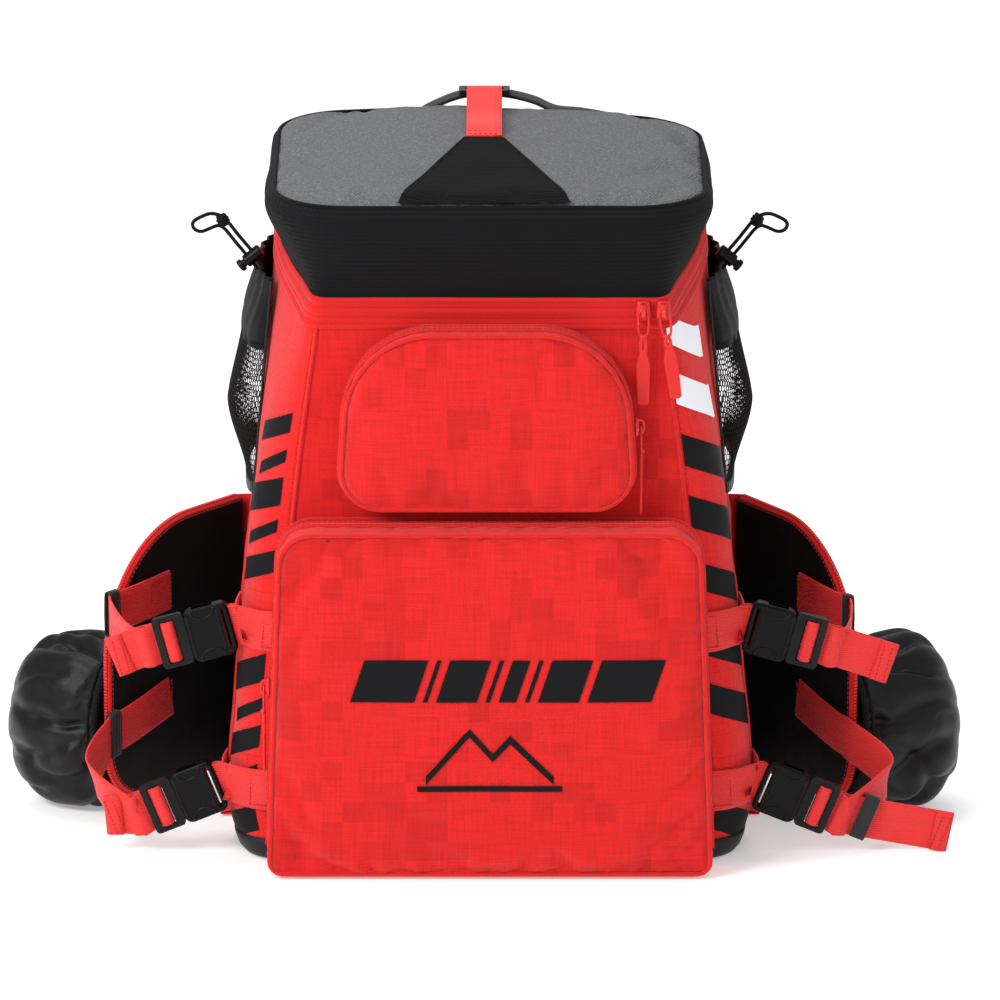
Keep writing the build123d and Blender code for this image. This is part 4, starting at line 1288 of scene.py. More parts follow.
def lid_crown(x, y, share):
    """How far the padded top stands above its edge plane; share is 1 at the rim."""
    calm = min(1, (1 - share) * 6)
    wave = 2.2 * ripple((x, y, 0), 75, 2) + 0.8 * ripple((x, y, 0), 30, 8)
    return 3.4 * (1 - share ** 3) - 1.2 - 2.2 * share ** 18 + wave * calm


def lid_surface(x, y):
    """Height of the lid's top cloth."""
    return hit_z(lid_tree, x, y, lid_top_z(x, y))


def body_rim():
    """Plan of the body round its tilted opening, anticlockwise from the back centre."""
    rim = []
    for q in even(-5, 5, 240)[:-1]:
        top = body_point(q, zip_z(plan_y(q)))
        rim.append(Vector((top.x, top.y)))
    return rim


BODY_RIM = body_rim()


def reach(outline, direction):
    """How far a closed outline lies from its middle in a direction."""
    ahead = direction.normalized()
    for a, b in zip(outline, outline[1:] + outline[:1]):
        edge = b - a
        cross = ahead.x * edge.y - ahead.y * edge.x
        if abs(cross) < 1e-9:
            continue
        along = (a.x * edge.y - a.y * edge.x) / cross
        share = (a.x * ahead.y - a.y * ahead.x) / cross
        if along > 0 and -1e-6 <= share <= 1 + 1e-6:
            return along
    return direction.length


def make_lid_top():
    """The padded charcoal top. Gives a search tree of it for what lies on it."""
    edge = [p - n * 3.0 for p, n in LID_EDGES]
    gap = edge_finder(edge)
    rows = []
    for level in fill(edge, 66, 60):
        row = []
        for p in level:
            share = 1 - min(1, gap(p.x, p.y) / 110)
            row.append(Vector((p.x, p.y, lid_top_z(p.x, p.y) + lid_crown(p.x, p.y, share))))
        rows.append(row)
    shape = Shape()
    shape.rows(rows)
    top = shape.piece("lid_top_cloth", [LID_TOP_CLOTH, LINING], "lid", ("lid_top_panel",),
                      "grey_polyester", merge=False)
    crumple(top, lambda p: gap(p.x, p.y) < 1.5, slack=0.03, pressure=0.5, limit=4)
    tree = surface_tree(top)
    thicken(top, 3, 1)
    return tree


def band_point(p, n, share, out):
    """A point of the lid's band: share runs down it from the piped edge to the zip."""
    high = lid_top_z(p.x, p.y) - 2.4
    low = zip_z(p.y) - 0.2
    z = high + (low - high) * share
    fade = sin(pi * min(1, max(0, share))) ** 0.7
    wave = 2.0 * ripple((p.x, p.y, z), 60, 12) + 0.9 * ripple((p.x, p.y, z * 0.6), 24, 3)
    here = p + n * (out * min(1, (high - low) / 45) - 2.0 + wave * fade)
    foot = p.normalized() * reach(BODY_RIM, p)
    here = here.lerp(foot, (max(0, share - BAND_TAPER) / (1 - BAND_TAPER)) ** 1.25)
    return Vector((here.x, here.y, z))


def make_lid_band():
    """The ribbed black band, which draws in to the opening, with its piping and hem."""
    rows = []
    for step in smooth_path(LID_BAND_PROFILE, 0.04):
        rows.append([band_point(p, n, step.x, step.y) for p, n in LID_EDGES])
    band = Shape()
    band.rows(rows, loop=True)
    piece = band.piece("lid_band_cloth", [BLACK_RIB, LINING], "lid", ("lid_band",), "black_polyester")
    thicken(piece, 3, 1)
    trim = Shape()
    edge = [Vector((p.x - n.x * 2.6, p.y - n.y * 2.6, lid_top_z(p.x, p.y) - 2.0)) for p, n in LID_EDGES]
    trim.tube(edge, 1.3, closed=True)
    hem = rows[-3]
    trim.stitches([*hem, hem[0]], lambda p: Vector((p.x, p.y, 0)).normalized(), slot=1)
    trim.piece("lid_piping", [BLACK_CLOTH, BLACK_CLOTH], "lid", slot="black_polyester")


def make_lid_patch():
    """The black trapezoid that anchors the lid strap."""
    rows = []
    for share in even(0, 1, 26):
        y = PATCH_FRONT + (PATCH_BACK - PATCH_FRONT) * share
        half = PATCH_HALF_FRONT - (PATCH_HALF_FRONT - PATCH_HALF_BACK) * share
        row = []
        for part in even(-1, 1, 24):
            x = STRAP_X + half * part
            row.append(Vector((x, y, lid_surface(x, y) + 1.2)))
        rows.append(row)
    shape = Shape()
    shape.rows(rows)
    left, right = [row[0] for row in rows[1:]], [row[-1] for row in rows[-2::-1]]
    edge = [*rows[0][::-1], *left, *rows[-1][1:], *right]
    centre = sum(edge, Vector()) / len(edge)
    inset = [p + (centre - p).normalized() * 2.2 + Vector((0, 0, 0.2)) for p in edge]
    shape.stitches(inset, (0, 0, 1), slot=1)
    shape.piece("lid_patch_cloth", [PATCH_CLOTH, BLACK_CLOTH], "lid", ("lid_patch",),
                "black_polyester", merge=False)


def make_lid_strap():
    """The red strap over the lid, folded round the ring, with a stitched hem."""
    low, high = cad("lid_ring")
    ring_y, ring_z = (low.y + high.y) / 2, (low.z + high.z) / 2
    top = lid_surface(STRAP_X, STRAP_FOOT)
    next_top = lid_surface(STRAP_X, STRAP_FOOT + 8)
    route = ((STRAP_FOOT, top + 1.4), (STRAP_FOOT + 8, next_top + 1.6), (STRAP_FOOT + 24, top + 5),
             (70, 492), (ring_y - 11, ring_z + 0.6), (ring_y - 5, ring_z + 2.6),
             (ring_y + 1, ring_z + 2.0), (ring_y + 2.6, ring_z - 1), (ring_y - 2, ring_z - 2.8),
             (ring_y - 12, ring_z - 4), (70, 489), (58, 486.5))
    shape = Shape()
    shape.strap(smooth_path([(STRAP_X, *each) for each in route], 2.5), (1, 0, 0), LID_STRAP_WIDTH, 1.6)
    for y in (STRAP_FOOT + 2.5, STRAP_FOOT + 10):
        z = lid_surface(STRAP_X, y) + 2.6
        shape.stitches([Vector((STRAP_X + x, y, z)) for x in (-10, 0, 10)], (0, 0, 1), slot=1)
    shape.piece("lid_web", [LID_WEB, THREAD], "lid", ("lid_strap",), "red_webbing")


def make_rear_strap():
    """The narrow black strap that holds the ring, across the lid's back."""
    shape = Shape()
    path = smooth_path([(-56, 110, 480), (-40, 113, 489), (-18, 116, 496.4), (8, 116, 497),
                        (30, 115, 492.5), (46, 113, 486), (66, 114, 483.5), (92, 113, 479)], 3)
    shape.strap(path, (0, 1, 0.25), 10, 2.2)
    shape.piece("lid_rear_web", [BLACK_WEB], "lid", ("lid_rear_strap",), "black_polyester")


lid_tree = make_lid_top()
make_lid_band()
make_lid_patch()
make_lid_strap()
make_rear_strap()


# ------------------------------------------------------------------ mesh side pockets
MESH_Y, MESH_HALF_LENGTH = 25, 68
# How far the pocket stands off the side at each height
MESH_BULGE = ((250, 7), (300, 25), (352, 19), (400, 10))
NET_COLUMNS, NET_LEVELS = 46, 27
NET_LOW, NET_HIGH = 251, 354
COLLAR_LOW, COLLAR_HIGH = 349, 400.5
BINDING_WIDTH, BINDING_THICKNESS = 8, 1.6


def mesh_bulge(z):
    """How far the pocket stands off the side at a height, eased between the given ones."""
    for (z0, b0), (z1, b1) in zip(MESH_BULGE, MESH_BULGE[1:]):
        if z <= z1:
            share = (z - z0) / (z1 - z0)
            smooth = share * share * (3 - 2 * share)
            return b0 + (b1 - b0) * (0.4 * share + 0.6 * smooth)
    return MESH_BULGE[-1][1]


def pocket_point(side, turn, z, grow=0.0):
    """A point of a mesh pocket: turn runs from 0 at its front edge to 1 at its back."""
    angle = pi * turn
    y = MESH_Y - MESH_HALF_LENGTH * cos(angle)
    x = half_width(z) - 1 + (mesh_bulge(z) + grow) * sin(angle) ** 0.8
    return Vector((side * x, y, z))


def make_net(side, name):
    """A net of real hexagonal holes."""
    shape = Shape()
    cell = (NET_HIGH - NET_LOW) / NET_LEVELS
    for row in range(NET_LEVELS):
        for column in range(NET_COLUMNS):
            centre_turn = (column + 0.5 * (row % 2)) / NET_COLUMNS
            centre_z = NET_LOW + cell * (row + 0.5)
            start = len(shape.points)
            for k in range(6):
                a = pi / 6 + k * pi / 3
                turn = centre_turn + cos(a) / NET_COLUMNS / sqrt(3)
                z = centre_z + sin(a) * cell * 2 / 3
                turn = min(1, max(0, turn))
                shape.points.append(pocket_point(side, turn, min(max(z, NET_LOW), NET_HIGH)))
            shape.faces.append(tuple(range(start, start + 6)))
            shape.slots.append(0)
    net = shape.piece(f"{name}_net", [NET], merge=False)
    weld(net, 0.00045)
    add_modifier(net, "WIREFRAME", thickness=0.0008, use_replace=True, use_even_offset=False)
    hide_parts(f"{name}_mesh_pocket")
    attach(net, "root")


def make_net_binding(side, name):
    """Black tape over the net's two upright edges and its foot."""
    shape = Shape()
    for turn in (0.0, 1.0):
        edge = [pocket_point(side, turn, z) + Vector((side * 1.2, 0, 0)) for z in even(248, 398, 40)]
        shape.strap(edge, (0, 1, 0), BINDING_WIDTH, BINDING_THICKNESS)
    foot = [pocket_point(side, turn, 250.5, 0.5) for turn in even(0, 1, 40)]
    shape.strap(foot, (0, 0, 1), BINDING_WIDTH, BINDING_THICKNESS)
    shape.piece(f"{name}_net_binding", [BLACK_WEB], "root", slot="black_polyester")


def make_collar(side, name):
    """The pocket's gathered black collar, with a rolled top edge."""
    rows = []
    for up, z in zip(even(0, 1, 24), even(COLLAR_LOW, COLLAR_HIGH, 24)):
        gather = 0.5 + 1.5 * up ** 1.5
        puff = 2.6 * sin(pi * up) + (1.4 if up > 0.8 else 0)
        row = []
        for turn in even(0, 1, 120):
            folds = gather * sin(turn * 46 + 2.5 * ripple((turn * 60, z, side), 25, 4))
            row.append(pocket_point(side, turn, z, (folds + puff) * sin(pi * turn) ** 0.5))
        rows.append(row)
    shape = Shape()
    shape.rows(rows)
    piece = shape.piece(f"{name}_collar_cloth", [LINING, LINING], "root", (f"{name}_pocket_collar",),
                        "black_polyester")
    thicken(piece, 1.2)


for side, name in SIDES:
    make_net(side, name)
    make_net_binding(side, name)
    make_collar(side, name)


# ------------------------------------------------------------------ side doors
# The door's rim as (distance past its outline, height over its inner face)
RIM_PROFILE = ((-5, 5.6), (-2, 6.0), (-0.4, 5.4), (0.3, 3.0), (-0.4, 0.6), (-2, 0), (-6, 0.2))
RIM_START = 14
# The boot pouch: middle of its mouth along and up the door, depth and half sizes
POUCH_ALONG, POUCH_Z = 130, 69
POUCH_MOUTH_OUT, POUCH_DEPTH = 7.4, 99
POUCH_HALF_LENGTH, POUCH_HALF_HEIGHT = 51, 67
POUCH_TOP, POUCH_FOOT = 138, 0.8
POUCH_COLUMNS, POUCH_ROWS = 96, 29
HEM_HALF_LENGTH, HEM_HALF_HEIGHT, HEM_FOOT = 40.5, 55.5, 2.5
# Each of the hem's cords: how far outside its line, how far out from the door, and its radius
HEM_CORDS = ((0, 8.2, 2.2), (1.5, 12.5, 1.2))


def door_frame(side):
    """The hinge corner, and the door's along and outward directions."""
    angle = radians(DOOR_ANGLE[side])
    hinge = Vector((side * DOOR_HINGE[0], DOOR_HINGE[1], 0))
    return hinge, Vector((side * sin(angle), -cos(angle), 0)), Vector((side * cos(angle), sin(angle), 0))


def door_point(side, along, z, out=0.0):
    """A point of the door: along it from the hinge, up, and out from its inner face."""
    hinge, ahead, outward = door_frame(side)
    return hinge + ahead * along + outward * out + Vector((0, 0, z))


DOOR_OUTLINE = rounded([(9, DOOR_LOW, 3), (DOOR_REACH, DOOR_LOW, 38), (DOOR_REACH, DOOR_HIGH, 92),
                        (9, DOOR_HIGH, 3)], 3)
DOOR_EDGES = with_normals(DOOR_OUTLINE)


def door_face(side, base, sign, crown):
    """One face of the padded door, as rings from its edge in to its middle. base is how far its
    edge lies out from the door's inner plane, and sign the side to which it swells by its crown."""
    centre = sum(DOOR_OUTLINE, Vector((0, 0))) / len(DOOR_OUTLINE)
    rings = []
    for share in even(1, 0, 24):
        ring = []
        for p, n in DOOR_EDGES:
            here = centre + (p - n * 2.5 - centre) * max(share, 0.005)
            wave = ripple((here.x, here.y, side * 40), 38, 6) + 0.5 * ripple((here.x, here.y, 5), 15, 9)
            bulge = crown * (1 - share ** 4) + 0.9 * wave * min(1, (1 - share) * 5)
            ring.append(door_point(side, here.x, here.y, base + sign * bulge))
        rings.append(ring)
    shape = Shape()
    shape.rows(rings, loop=True)
    return shape


def make_door(side, name):
    """A padded D-shaped door: red outside, black inside."""
    outer = door_face(side, base=5.2, sign=1, crown=2.2)
    inner = door_face(side, base=0.6, sign=-1, crown=1.2)
    panel = outer.piece(f"{name}_door_cloth", [DOOR_CLOTH], f"{name}_door", (f"{name}_door",),
                        "door_lining")
    lining = inner.piece(f"{name}_door_lining", [LINING], f"{name}_door", slot="door_lining")
    for each in (panel, lining):
        thicken(each, 0.8)


def make_door_rim(side, name):
    """Zip tape, coil and stitching round the door's curved edge."""
    edges = after_gap([(p, n) for p, n in DOOR_EDGES if p.x > RIM_START], lambda edge: edge[0])

    def line(past, out):
        """A line past the door's outline, out from its inner face."""
        return [door_point(side, p.x + n.x * past, p.y + n.y * past, out) for p, n in edges]

    rim = Shape()
    rim.rows([line(*each) for each in RIM_PROFILE])
    outward = door_frame(side)[2]
    rim.teeth(line(0.5, 3), 2.4, outward, (3.4, 1.5, 1.8))
    rim.stitches(line(-3.4, 6.2), outward, slot=2)
    rim.stitches(line(-3.4, -0.3), -outward, slot=2)
    rim.piece(f"{name}_door_rim", [ZIP_TAPE, COIL, THREAD], f"{name}_door", (f"{name}_door_zip",),
              "zip_tape_red")


def make_door_hinge(side, name):
    """Cloth that joins the door's straight edge to the back corner, curving round between them."""
    rows = []
    for z in even(DOOR_LOW + 1, DOOR_HIGH - 1, 40):
        body = [on_side(side, -y, z, 1.4) for y in (104, 101, 99.5)]
        door = [door_point(side, along, z, out) for along, out in ((7, 5.5), (12, 6.4), (15, 6.6))]
        rows.append(spread(smooth_path([*body, *door], 2.5), 16))
    shape = Shape()
    shape.rows(rows)
    hinge = shape.piece(f"{name}_door_hinge", [PLAIN_FRONT], slot="red_ripstop")
    thicken(hinge, 1.0)
    start = on_side(side, -99, 110)
    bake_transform(hinge)


def pouch_radius(side, t, a):
    """The pouch's size as a share of its half sizes: t runs from the mouth (0) to the end (1)
    and a is the angle round it. Pleats at the mouth, long folds and lumps on the belly."""
    mouth = 0.80 + 0.20 * sin(min(1, t / 0.3) * pi / 2)
    belly = max(0.0, 1 - max(0, (t - 0.42) / 0.58) ** 2.3) ** 0.62
    drift = 1.1 * ripple((cos(a) * 30, sin(a) * 30, t * 40), 22, 13 + side)
    pleat = sin(24 * a + 2.2 * drift) * 0.030 * (1 - t) ** 2.5
    valley = (1 - abs(sin(4.5 * a + 2.4 * drift + 1.3 * side))) ** 2
    crease = (1 - abs(sin(3.5 * a - 3.0 * drift + 0.7))) ** 2
    fold = 0.25 * valley * (1 - t) ** 0.8 * min(1, t / 0.08) + 0.10 * crease * sin(pi * t)
    lump = 0.05 * ripple((cos(a) * 40, sin(a) * 40, t * 60), 30, 21 + side)
    return mouth * belly * (1.03 + pleat - fold + lump)


def make_pouch(side, name):
    """A nylon sack on the door, gathered at its mouth and slack on its belly."""
    rings = []
    for t in even(0, 1, POUCH_ROWS):
        out = POUCH_MOUTH_OUT + POUCH_DEPTH * (1 - (1 - t) ** 1.35)
        ring = []
        for a in circle(POUCH_COLUMNS):
            r = pouch_radius(side, t, a)
            along = POUCH_ALONG + POUCH_HALF_LENGTH * r * cos(a)
            z = POUCH_Z - 3 * t + POUCH_HALF_HEIGHT * r * sin(a)
            ring.append(door_point(side, along, min(max(z, POUCH_FOOT), POUCH_TOP), out))
        rings.append(ring)
    shape = Shape()
    shape.solid(rings)
    pouch = shape.piece(f"{name}_pouch_cloth", [NYLON], slot="crinkle_nylon")
    hinge, _, outward = door_frame(side)
    crumple(pouch, lambda p: (p - hinge).dot(outward) < 9, slack=0.08, pressure=1.0, limit=9,
            gravity=0.4, frames=22, bending=1.5)
    for vertex in pouch.data.vertices:
        vertex.co.z = max(vertex.co.z, 0.0006)
    add_modifier(pouch, "SUBSURF", levels=1, render_levels=1)
    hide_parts(f"{name}_boot_pouch")
    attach(pouch, f"{name}_door")


def make_pouch_hem(side, name):
    """The corded hem that holds the pouch's mouth to the door."""
    hem = Shape()
    for grow, out, radius in HEM_CORDS:
        ring = []
        for a in circle(90):
            along = POUCH_ALONG + (HEM_HALF_LENGTH + grow) * cos(a)
            z = max(HEM_FOOT, POUCH_Z + (HEM_HALF_HEIGHT + grow) * sin(a))
            ring.append(door_point(side, along, z, out))
        hem.tube(ring, radius, closed=True)
    hem.piece(f"{name}_pouch_hem", [BLACK_CLOTH], f"{name}_door", slot="crinkle_nylon")


for side, name in SIDES:
    make_door(side, name)
    make_door_rim(side, name)
    make_door_hinge(side, name)
    make_pouch(side, name)
    make_pouch_hem(side, name)


# ------------------------------------------------------------------ webbing and buckles
BUCKLE_Y = -96
WEB_WIDTH = 29
WEB_THICKNESS = 1.5
STITCH_PITCH, STITCH_LENGTH = 2.9, 2.1
# Height, start of the socket and droop in degrees of the upper and lower buckle
BUCKLES = (("upper", 166, 178, 15), ("lower", 52, 188, 22))
# How far each strap's tail reaches past its socket's start
TAIL_REACH = {(-1, "upper"): 88, (-1, "lower"): 84, (1, "upper"): 106, (1, "lower"): 138}
# Heights of each strap where it is sewn to the lining and where it rounds the door's edge
SEWN_HEIGHT = {"upper": (158, 155), "lower": (80, 66)}
# The webbing's way as (along the buckle, out to the front): round the socket's bar, and
# in and out of the clip's two bars
SOCKET_BAR = ((-3, 1.8), (1.2, 2.8), (3.4, 0.6), (1.6, -2.6), (-4, -2.8))
CLIP_BARS = ((55, -2.2), (50, -1.6), (48.4, 0.4), (47, 3.2), (44.4, 3.7), (41.8, 3.2), (40.4, 0),
             (41.4, -3.4), (46, -4.6), (56, -5.4), (66, -5.0))
CLIP_END = 66
# Height of a socket's face, and the curves round its windows: their middle and half length
# along the buckle, where they start across it, and how deep they bow in
SOCKET_FACE = 5.5
WINDOW_ALONG, WINDOW_HALF_LENGTH = 18, 8.5
WINDOW_EDGE, WINDOW_DEPTH = 17.8, 6.5
# Where a socket's webbing lies on the body: q ahead of the bar, and (q, height) behind it
ANCHOR_FRONT = (1.02, 1.16, 1.3, 1.44)
ANCHOR_BACK = ((1.72, 3.5), (1.98, 1.2), (2.12, 1.2))
# A strap's ends on the door's lining: distances from the hinge and how far inside the door
SEWN_RUN = ((96, -1.8), (112, -2.4), (132, -3.2), (150, -3.0))


def droop_directions(side, droop):
    """A drooping buckle's directions along its strap and across its width."""
    t = radians(droop)
    return Vector((side * cos(t), 0, -sin(t))), Vector((side * sin(t), 0, cos(t)))


def buckle_point(side, height, start, droop, along, out, across=0.0):
    """A point beside a buckle: along its strap, out to the front, and across its width."""
    ahead, wide = droop_directions(side, droop)
    origin = Vector((side * start, BUCKLE_Y, height))
    return origin + ahead * along + Vector((0, -1, 0)) * out + wide * across


def turned_across(path, side, droop, begin, end):
    """Width directions that turn from upright at begin to the buckle's tilt at end."""
    result = []
    for i in range(len(path)):
        share = (i / (len(path) - 1) - begin) / (end - begin)
        result.append(droop_directions(side, droop * min(1, max(0, share)))[1])
    return result


def web_stitches(shape, path, ups):
    """A row of the webbing's own stitches."""
    shape.stitches(path, ups, STITCH_PITCH, STITCH_LENGTH, slot=1)


def box_stitches(shape, a, b, up):
    """A stitched box with a cross between two points, as where webbing is sewn down."""
    wide = Vector((0, 0, WEB_WIDTH / 2 - 3))
    corners = [a - wide, b - wide, b + wide, a + wide]
    for p, q in zip(corners, corners[1:] + corners[:1]):
        web_stitches(shape, [p, p.lerp(q, 0.5), q], up)
    web_stitches(shape, [corners[0], corners[2]], up)
    web_stitches(shape, [corners[1], corners[3]], up)


def make_anchor_webs():
    """Webbing sewn round the body's front corners, looped through each socket's bar."""
    shape = Shape()
    for side, _ in SIDES:
        for _, height, start, droop in BUCKLES:
            here = (side, height, start, droop)
            front = [body_point(side * q, height, 1.6) for q in ANCHOR_FRONT]
            bar = [buckle_point(*here, *each) for each in SOCKET_BAR]
            back = [body_point(side * q, height, grow) for q, grow in ANCHOR_BACK]
            path = smooth_path([*front, *bar, *back], 2.5)
            across = turned_across(path, side, droop, 0.15, 0.5)
            for i in range(len(path)):
                fade = min(1, 2.5 * (1 - i / len(path)))
                across[i] = Vector((0, 0, 1)).lerp(across[i], fade)
            shape.strap(path, across, WEB_WIDTH, WEB_THICKNESS)
            for dz in (-11, 11):
                line = [body_point(side * q, height + dz, 2.5) for q in even(1.04, 1.36, 8)]
                web_stitches(shape, line, body_normal(side * 1.16))
            for q in (1.05, 1.35):
                line = [body_point(side * q, height + dz, 2.5) for dz in (-11, 0, 11)]
                web_stitches(shape, line, body_normal(side * q))
    shape.piece("anchor_webbing", [RED_WEB, THREAD], "root", ("anchor_webs",), "red_webbing")


def sewn_hem(shape, path, wide):
    """The strap's tail folded back on itself and stitched across."""
    end = path[-1]
    back = (path[-4] - end).normalized()
    out = back.cross(wide).normalized()
    if out.y > 0:
        out = -out
    fold = [end + out * 1.6, end + out * 2.0 + back * 3, end + out * 1.9 + back * 8,
            end + out * 1.5 + back * 12]
    shape.strap(fold, wide, WEB_WIDTH, WEB_THICKNESS)
    half = WEB_WIDTH / 2 - 2
    for inset in (3.5, 9.5):
        row = [end + out * 2.8 + back * inset + wide * w for w in (-half, 0, half)]
        web_stitches(shape, row, out)


def make_door_strap(side, name, level, height, start, droop):
    """From the door's lining, round its edge, through the clip's bars, to a hemmed tail."""
    here = (side, height, start, droop)
    sewn_z, edge_z = SEWN_HEIGHT[level]
    first = SEWN_RUN[0][0]
    sewn = [door_point(side, r, sewn_z + (edge_z - sewn_z) * (r - first) / (DOOR_REACH - first), out)
            for r, out in SEWN_RUN]
    edge = door_point(side, DOOR_REACH + 1, edge_z, -2.0)
    clip_end = buckle_point(*here, CLIP_END, -1.5)
    if level == "lower":
        middle = Vector((side * 278, -66, 47))
        rise = 14 if side == 1 else 6
    else:
        middle = edge.lerp(clip_end, 0.5) + Vector((side * 3, 0, -1))
        rise = -3
    bars = [buckle_point(*here, *each) for each in CLIP_BARS]
    spare = TAIL_REACH[side, level] - CLIP_END
    tail = [buckle_point(*here, CLIP_END + spare * s, -5 - 3 * s, rise * s) for s in (0.35, 0.7, 1.0)]
    path = smooth_path([*sewn, edge, middle, clip_end, *bars, *tail], 2.2)
    across = turned_across(path, side, droop, 0.30, 0.5)
    shape = Shape()
    shape.strap(path, across, WEB_WIDTH, WEB_THICKNESS)
    inward = -door_frame(side)[2]
    box_stitches(shape, sewn[0] + inward * 0.9, sewn[1].lerp(sewn[2], 0.4) + inward * 0.9, inward)
    sewn_hem(shape, path, across[-1])
    piece = shape.piece(f"{name}_{level}_door_web", [RED_WEB, THREAD], slot="red_webbing")
    if level == "upper":
        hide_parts(f"{name}_door_straps")
    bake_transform(piece)
    keeper = f"{name}_{level}_keeper"
    if side == 1 and level == "lower":
        ahead, wide = droop_directions(1, droop)
        make_keeper(keeper, buckle_point(*here, 78, -4.6, 3), ahead, wide, 5.5, "root")
    else:
        ahead = (edge - sewn[-1]).normalized()
        half_length = 5.0 if side == -1 else 3.0
        make_keeper(keeper, edge.lerp(sewn[-1], 0.2), ahead, Vector((0, 0, 1)), half_length, f"{name}_door")


def make_keeper(name, middle, ahead, wide, half_length, body):
    """A black elastic loop round a strap and its tail."""
    thick = ahead.cross(wide).normalized()
    half_wide, half_thick = WEB_WIDTH / 2 + 1.4, 3.4
    loop = [middle + wide * half_wide * squared(cos(a), 0.3) + thick * half_thick * squared(sin(a), 0.4)
            for a in circle(28)]
    rows = []
    for along, grow in ((-1, -0.5), (-0.92, 0.5), (0.92, 0.5), (1, -0.5)):
        rows.append([p + ahead * along * half_length + (p - middle).normalized() * grow for p in loop])
    keeper = Shape()
    keeper.rows(rows, loop=True)
    band = keeper.piece(name, [BLACK_WEB], body, slot="black_polyester")
    thicken(band, 1.0)


def make_buckle_ridges():
    """The raised curves on each socket that frame its release windows."""
    shape = Shape()
    for side, _ in SIDES:
        for _, height, start, droop in BUCKLES:
            here = (side, height, start, droop)
            for up in (-1, 1):
                curve = []
                for a in even(0, pi, 14):
                    along = WINDOW_ALONG - WINDOW_HALF_LENGTH * cos(a)
                    across = up * (WINDOW_EDGE - WINDOW_DEPTH * sin(a))
                    curve.append(buckle_point(*here, along, SOCKET_FACE, across))
                shape.tube(curve, 0.8)
            for along in (8.2, 29.6):
                line = [buckle_point(*here, along, SOCKET_FACE, across) for across in even(-15, 15, 6)]
                shape.tube(line, 0.6)
    shape.piece("buckle_ridges", [ACETAL], "root", slot="black_acetal")


make_buckle_ridges()
make_anchor_webs()
for side, name in SIDES:
    for buckle in BUCKLES:
        make_door_strap(side, name, *buckle)


# ------------------------------------------------------------------ zip sliders and pulls
PIVOT_OUT = 4.2
GRIP_LENGTH = 38
LINK_RADIUS = 0.85
# The link's middle below the pivot, its half length and half width
LINK_DROP, LINK_HALF_LENGTH, LINK_HALF_WIDTH = 8.6, 9.2, 3.6
CORD_RADIUS = 1.2
# The grip's outline, and its (share of its length, width, thickness) from the cord down
GRIP_OUTLINE = rounded([(-4.6, -1.1, 1.0), (4.6, -1.1, 1.0), (4.6, 1.1, 1.0), (-4.6, 1.1, 1.0)], 0.6)
GRIP_PROFILE = ((-0.02, 0.3, 0.6), (0.02, 0.45, 1.1), (0.1, 0.7, 1.3), (0.22, 0.98, 1.0),
                (0.3, 1.04, 0.85), (0.5, 1.02, 0.85), (0.7, 0.98, 0.85), (0.9, 0.92, 0.9),
                (0.97, 0.85, 0.8), (1, 0.6, 0.4))
# The slider's plate outline, its (height, size) profile and its bridge's (height, along) route
PLATE_OUTLINE = rounded([(-5.5, -7, 3.5), (5.5, -7, 3.5), (4.2, 7, 2), (-4.2, 7, 2)], 1.2)
PLATE_PROFILE = ((0, 0.96), (0.5, 1), (1.7, 1), (2.4, 0.9))
BRIDGE_ROUTE = ((1.5, -5), (4.4, -4.6), (6.0, -2), (6.1, 1.5), (5.2, 4.2), (1.5, 5))
MAIN_SLIDER_Y, MAIN_SLIDER_Z = -HALF_DEPTH - 2.3, ZIP_HEIGHT - 9
# Name, slider's body, pull's body, centre, turn and lean in degrees, and the pull's length
SLIDERS = (
    ("main_one", "main_slider_one", "main_pull_one", (105, MAIN_SLIDER_Y, MAIN_SLIDER_Z), 0, 0, 66),
    ("main_two", "main_slider_two", "main_pull_two", (119, MAIN_SLIDER_Y, MAIN_SLIDER_Z), 0, 8, 62),
    ("upper", "upper_slider", "upper_pull", (99.6, -126.5, 316), 90, 0, 62),
    ("lower", "lower_slider", "lower_pull", (-151.8, -132.5, 132), -90, 0, 60),
)


def slider_frame(centre, turn):
    """A slider's centre, and its across, front and up directions."""
    t = radians(turn)
    return Vector(centre), Vector((cos(t), sin(t), 0)), Vector((sin(t), -cos(t), 0)), Vector((0, 0, 1))


def make_slider(label, body, centre, turn):
    """A tapered plate with a bridge over it."""
    origin, across, front, up = slider_frame(centre, turn)
    shape = Shape()
    shape.solid([[origin + across * p.x * size + up * p.y * size + front * out for p in PLATE_OUTLINE]
                 for out, size in PLATE_PROFILE])
    bridge = smooth_path([origin + front * out + up * z for out, z in BRIDGE_ROUTE], 0.8)
    shape.strap(bridge, across, 3.2, 1.3)
    shape.piece(f"{label}_slider_plate", ENAMEL, body, (body,), "slider_metal")


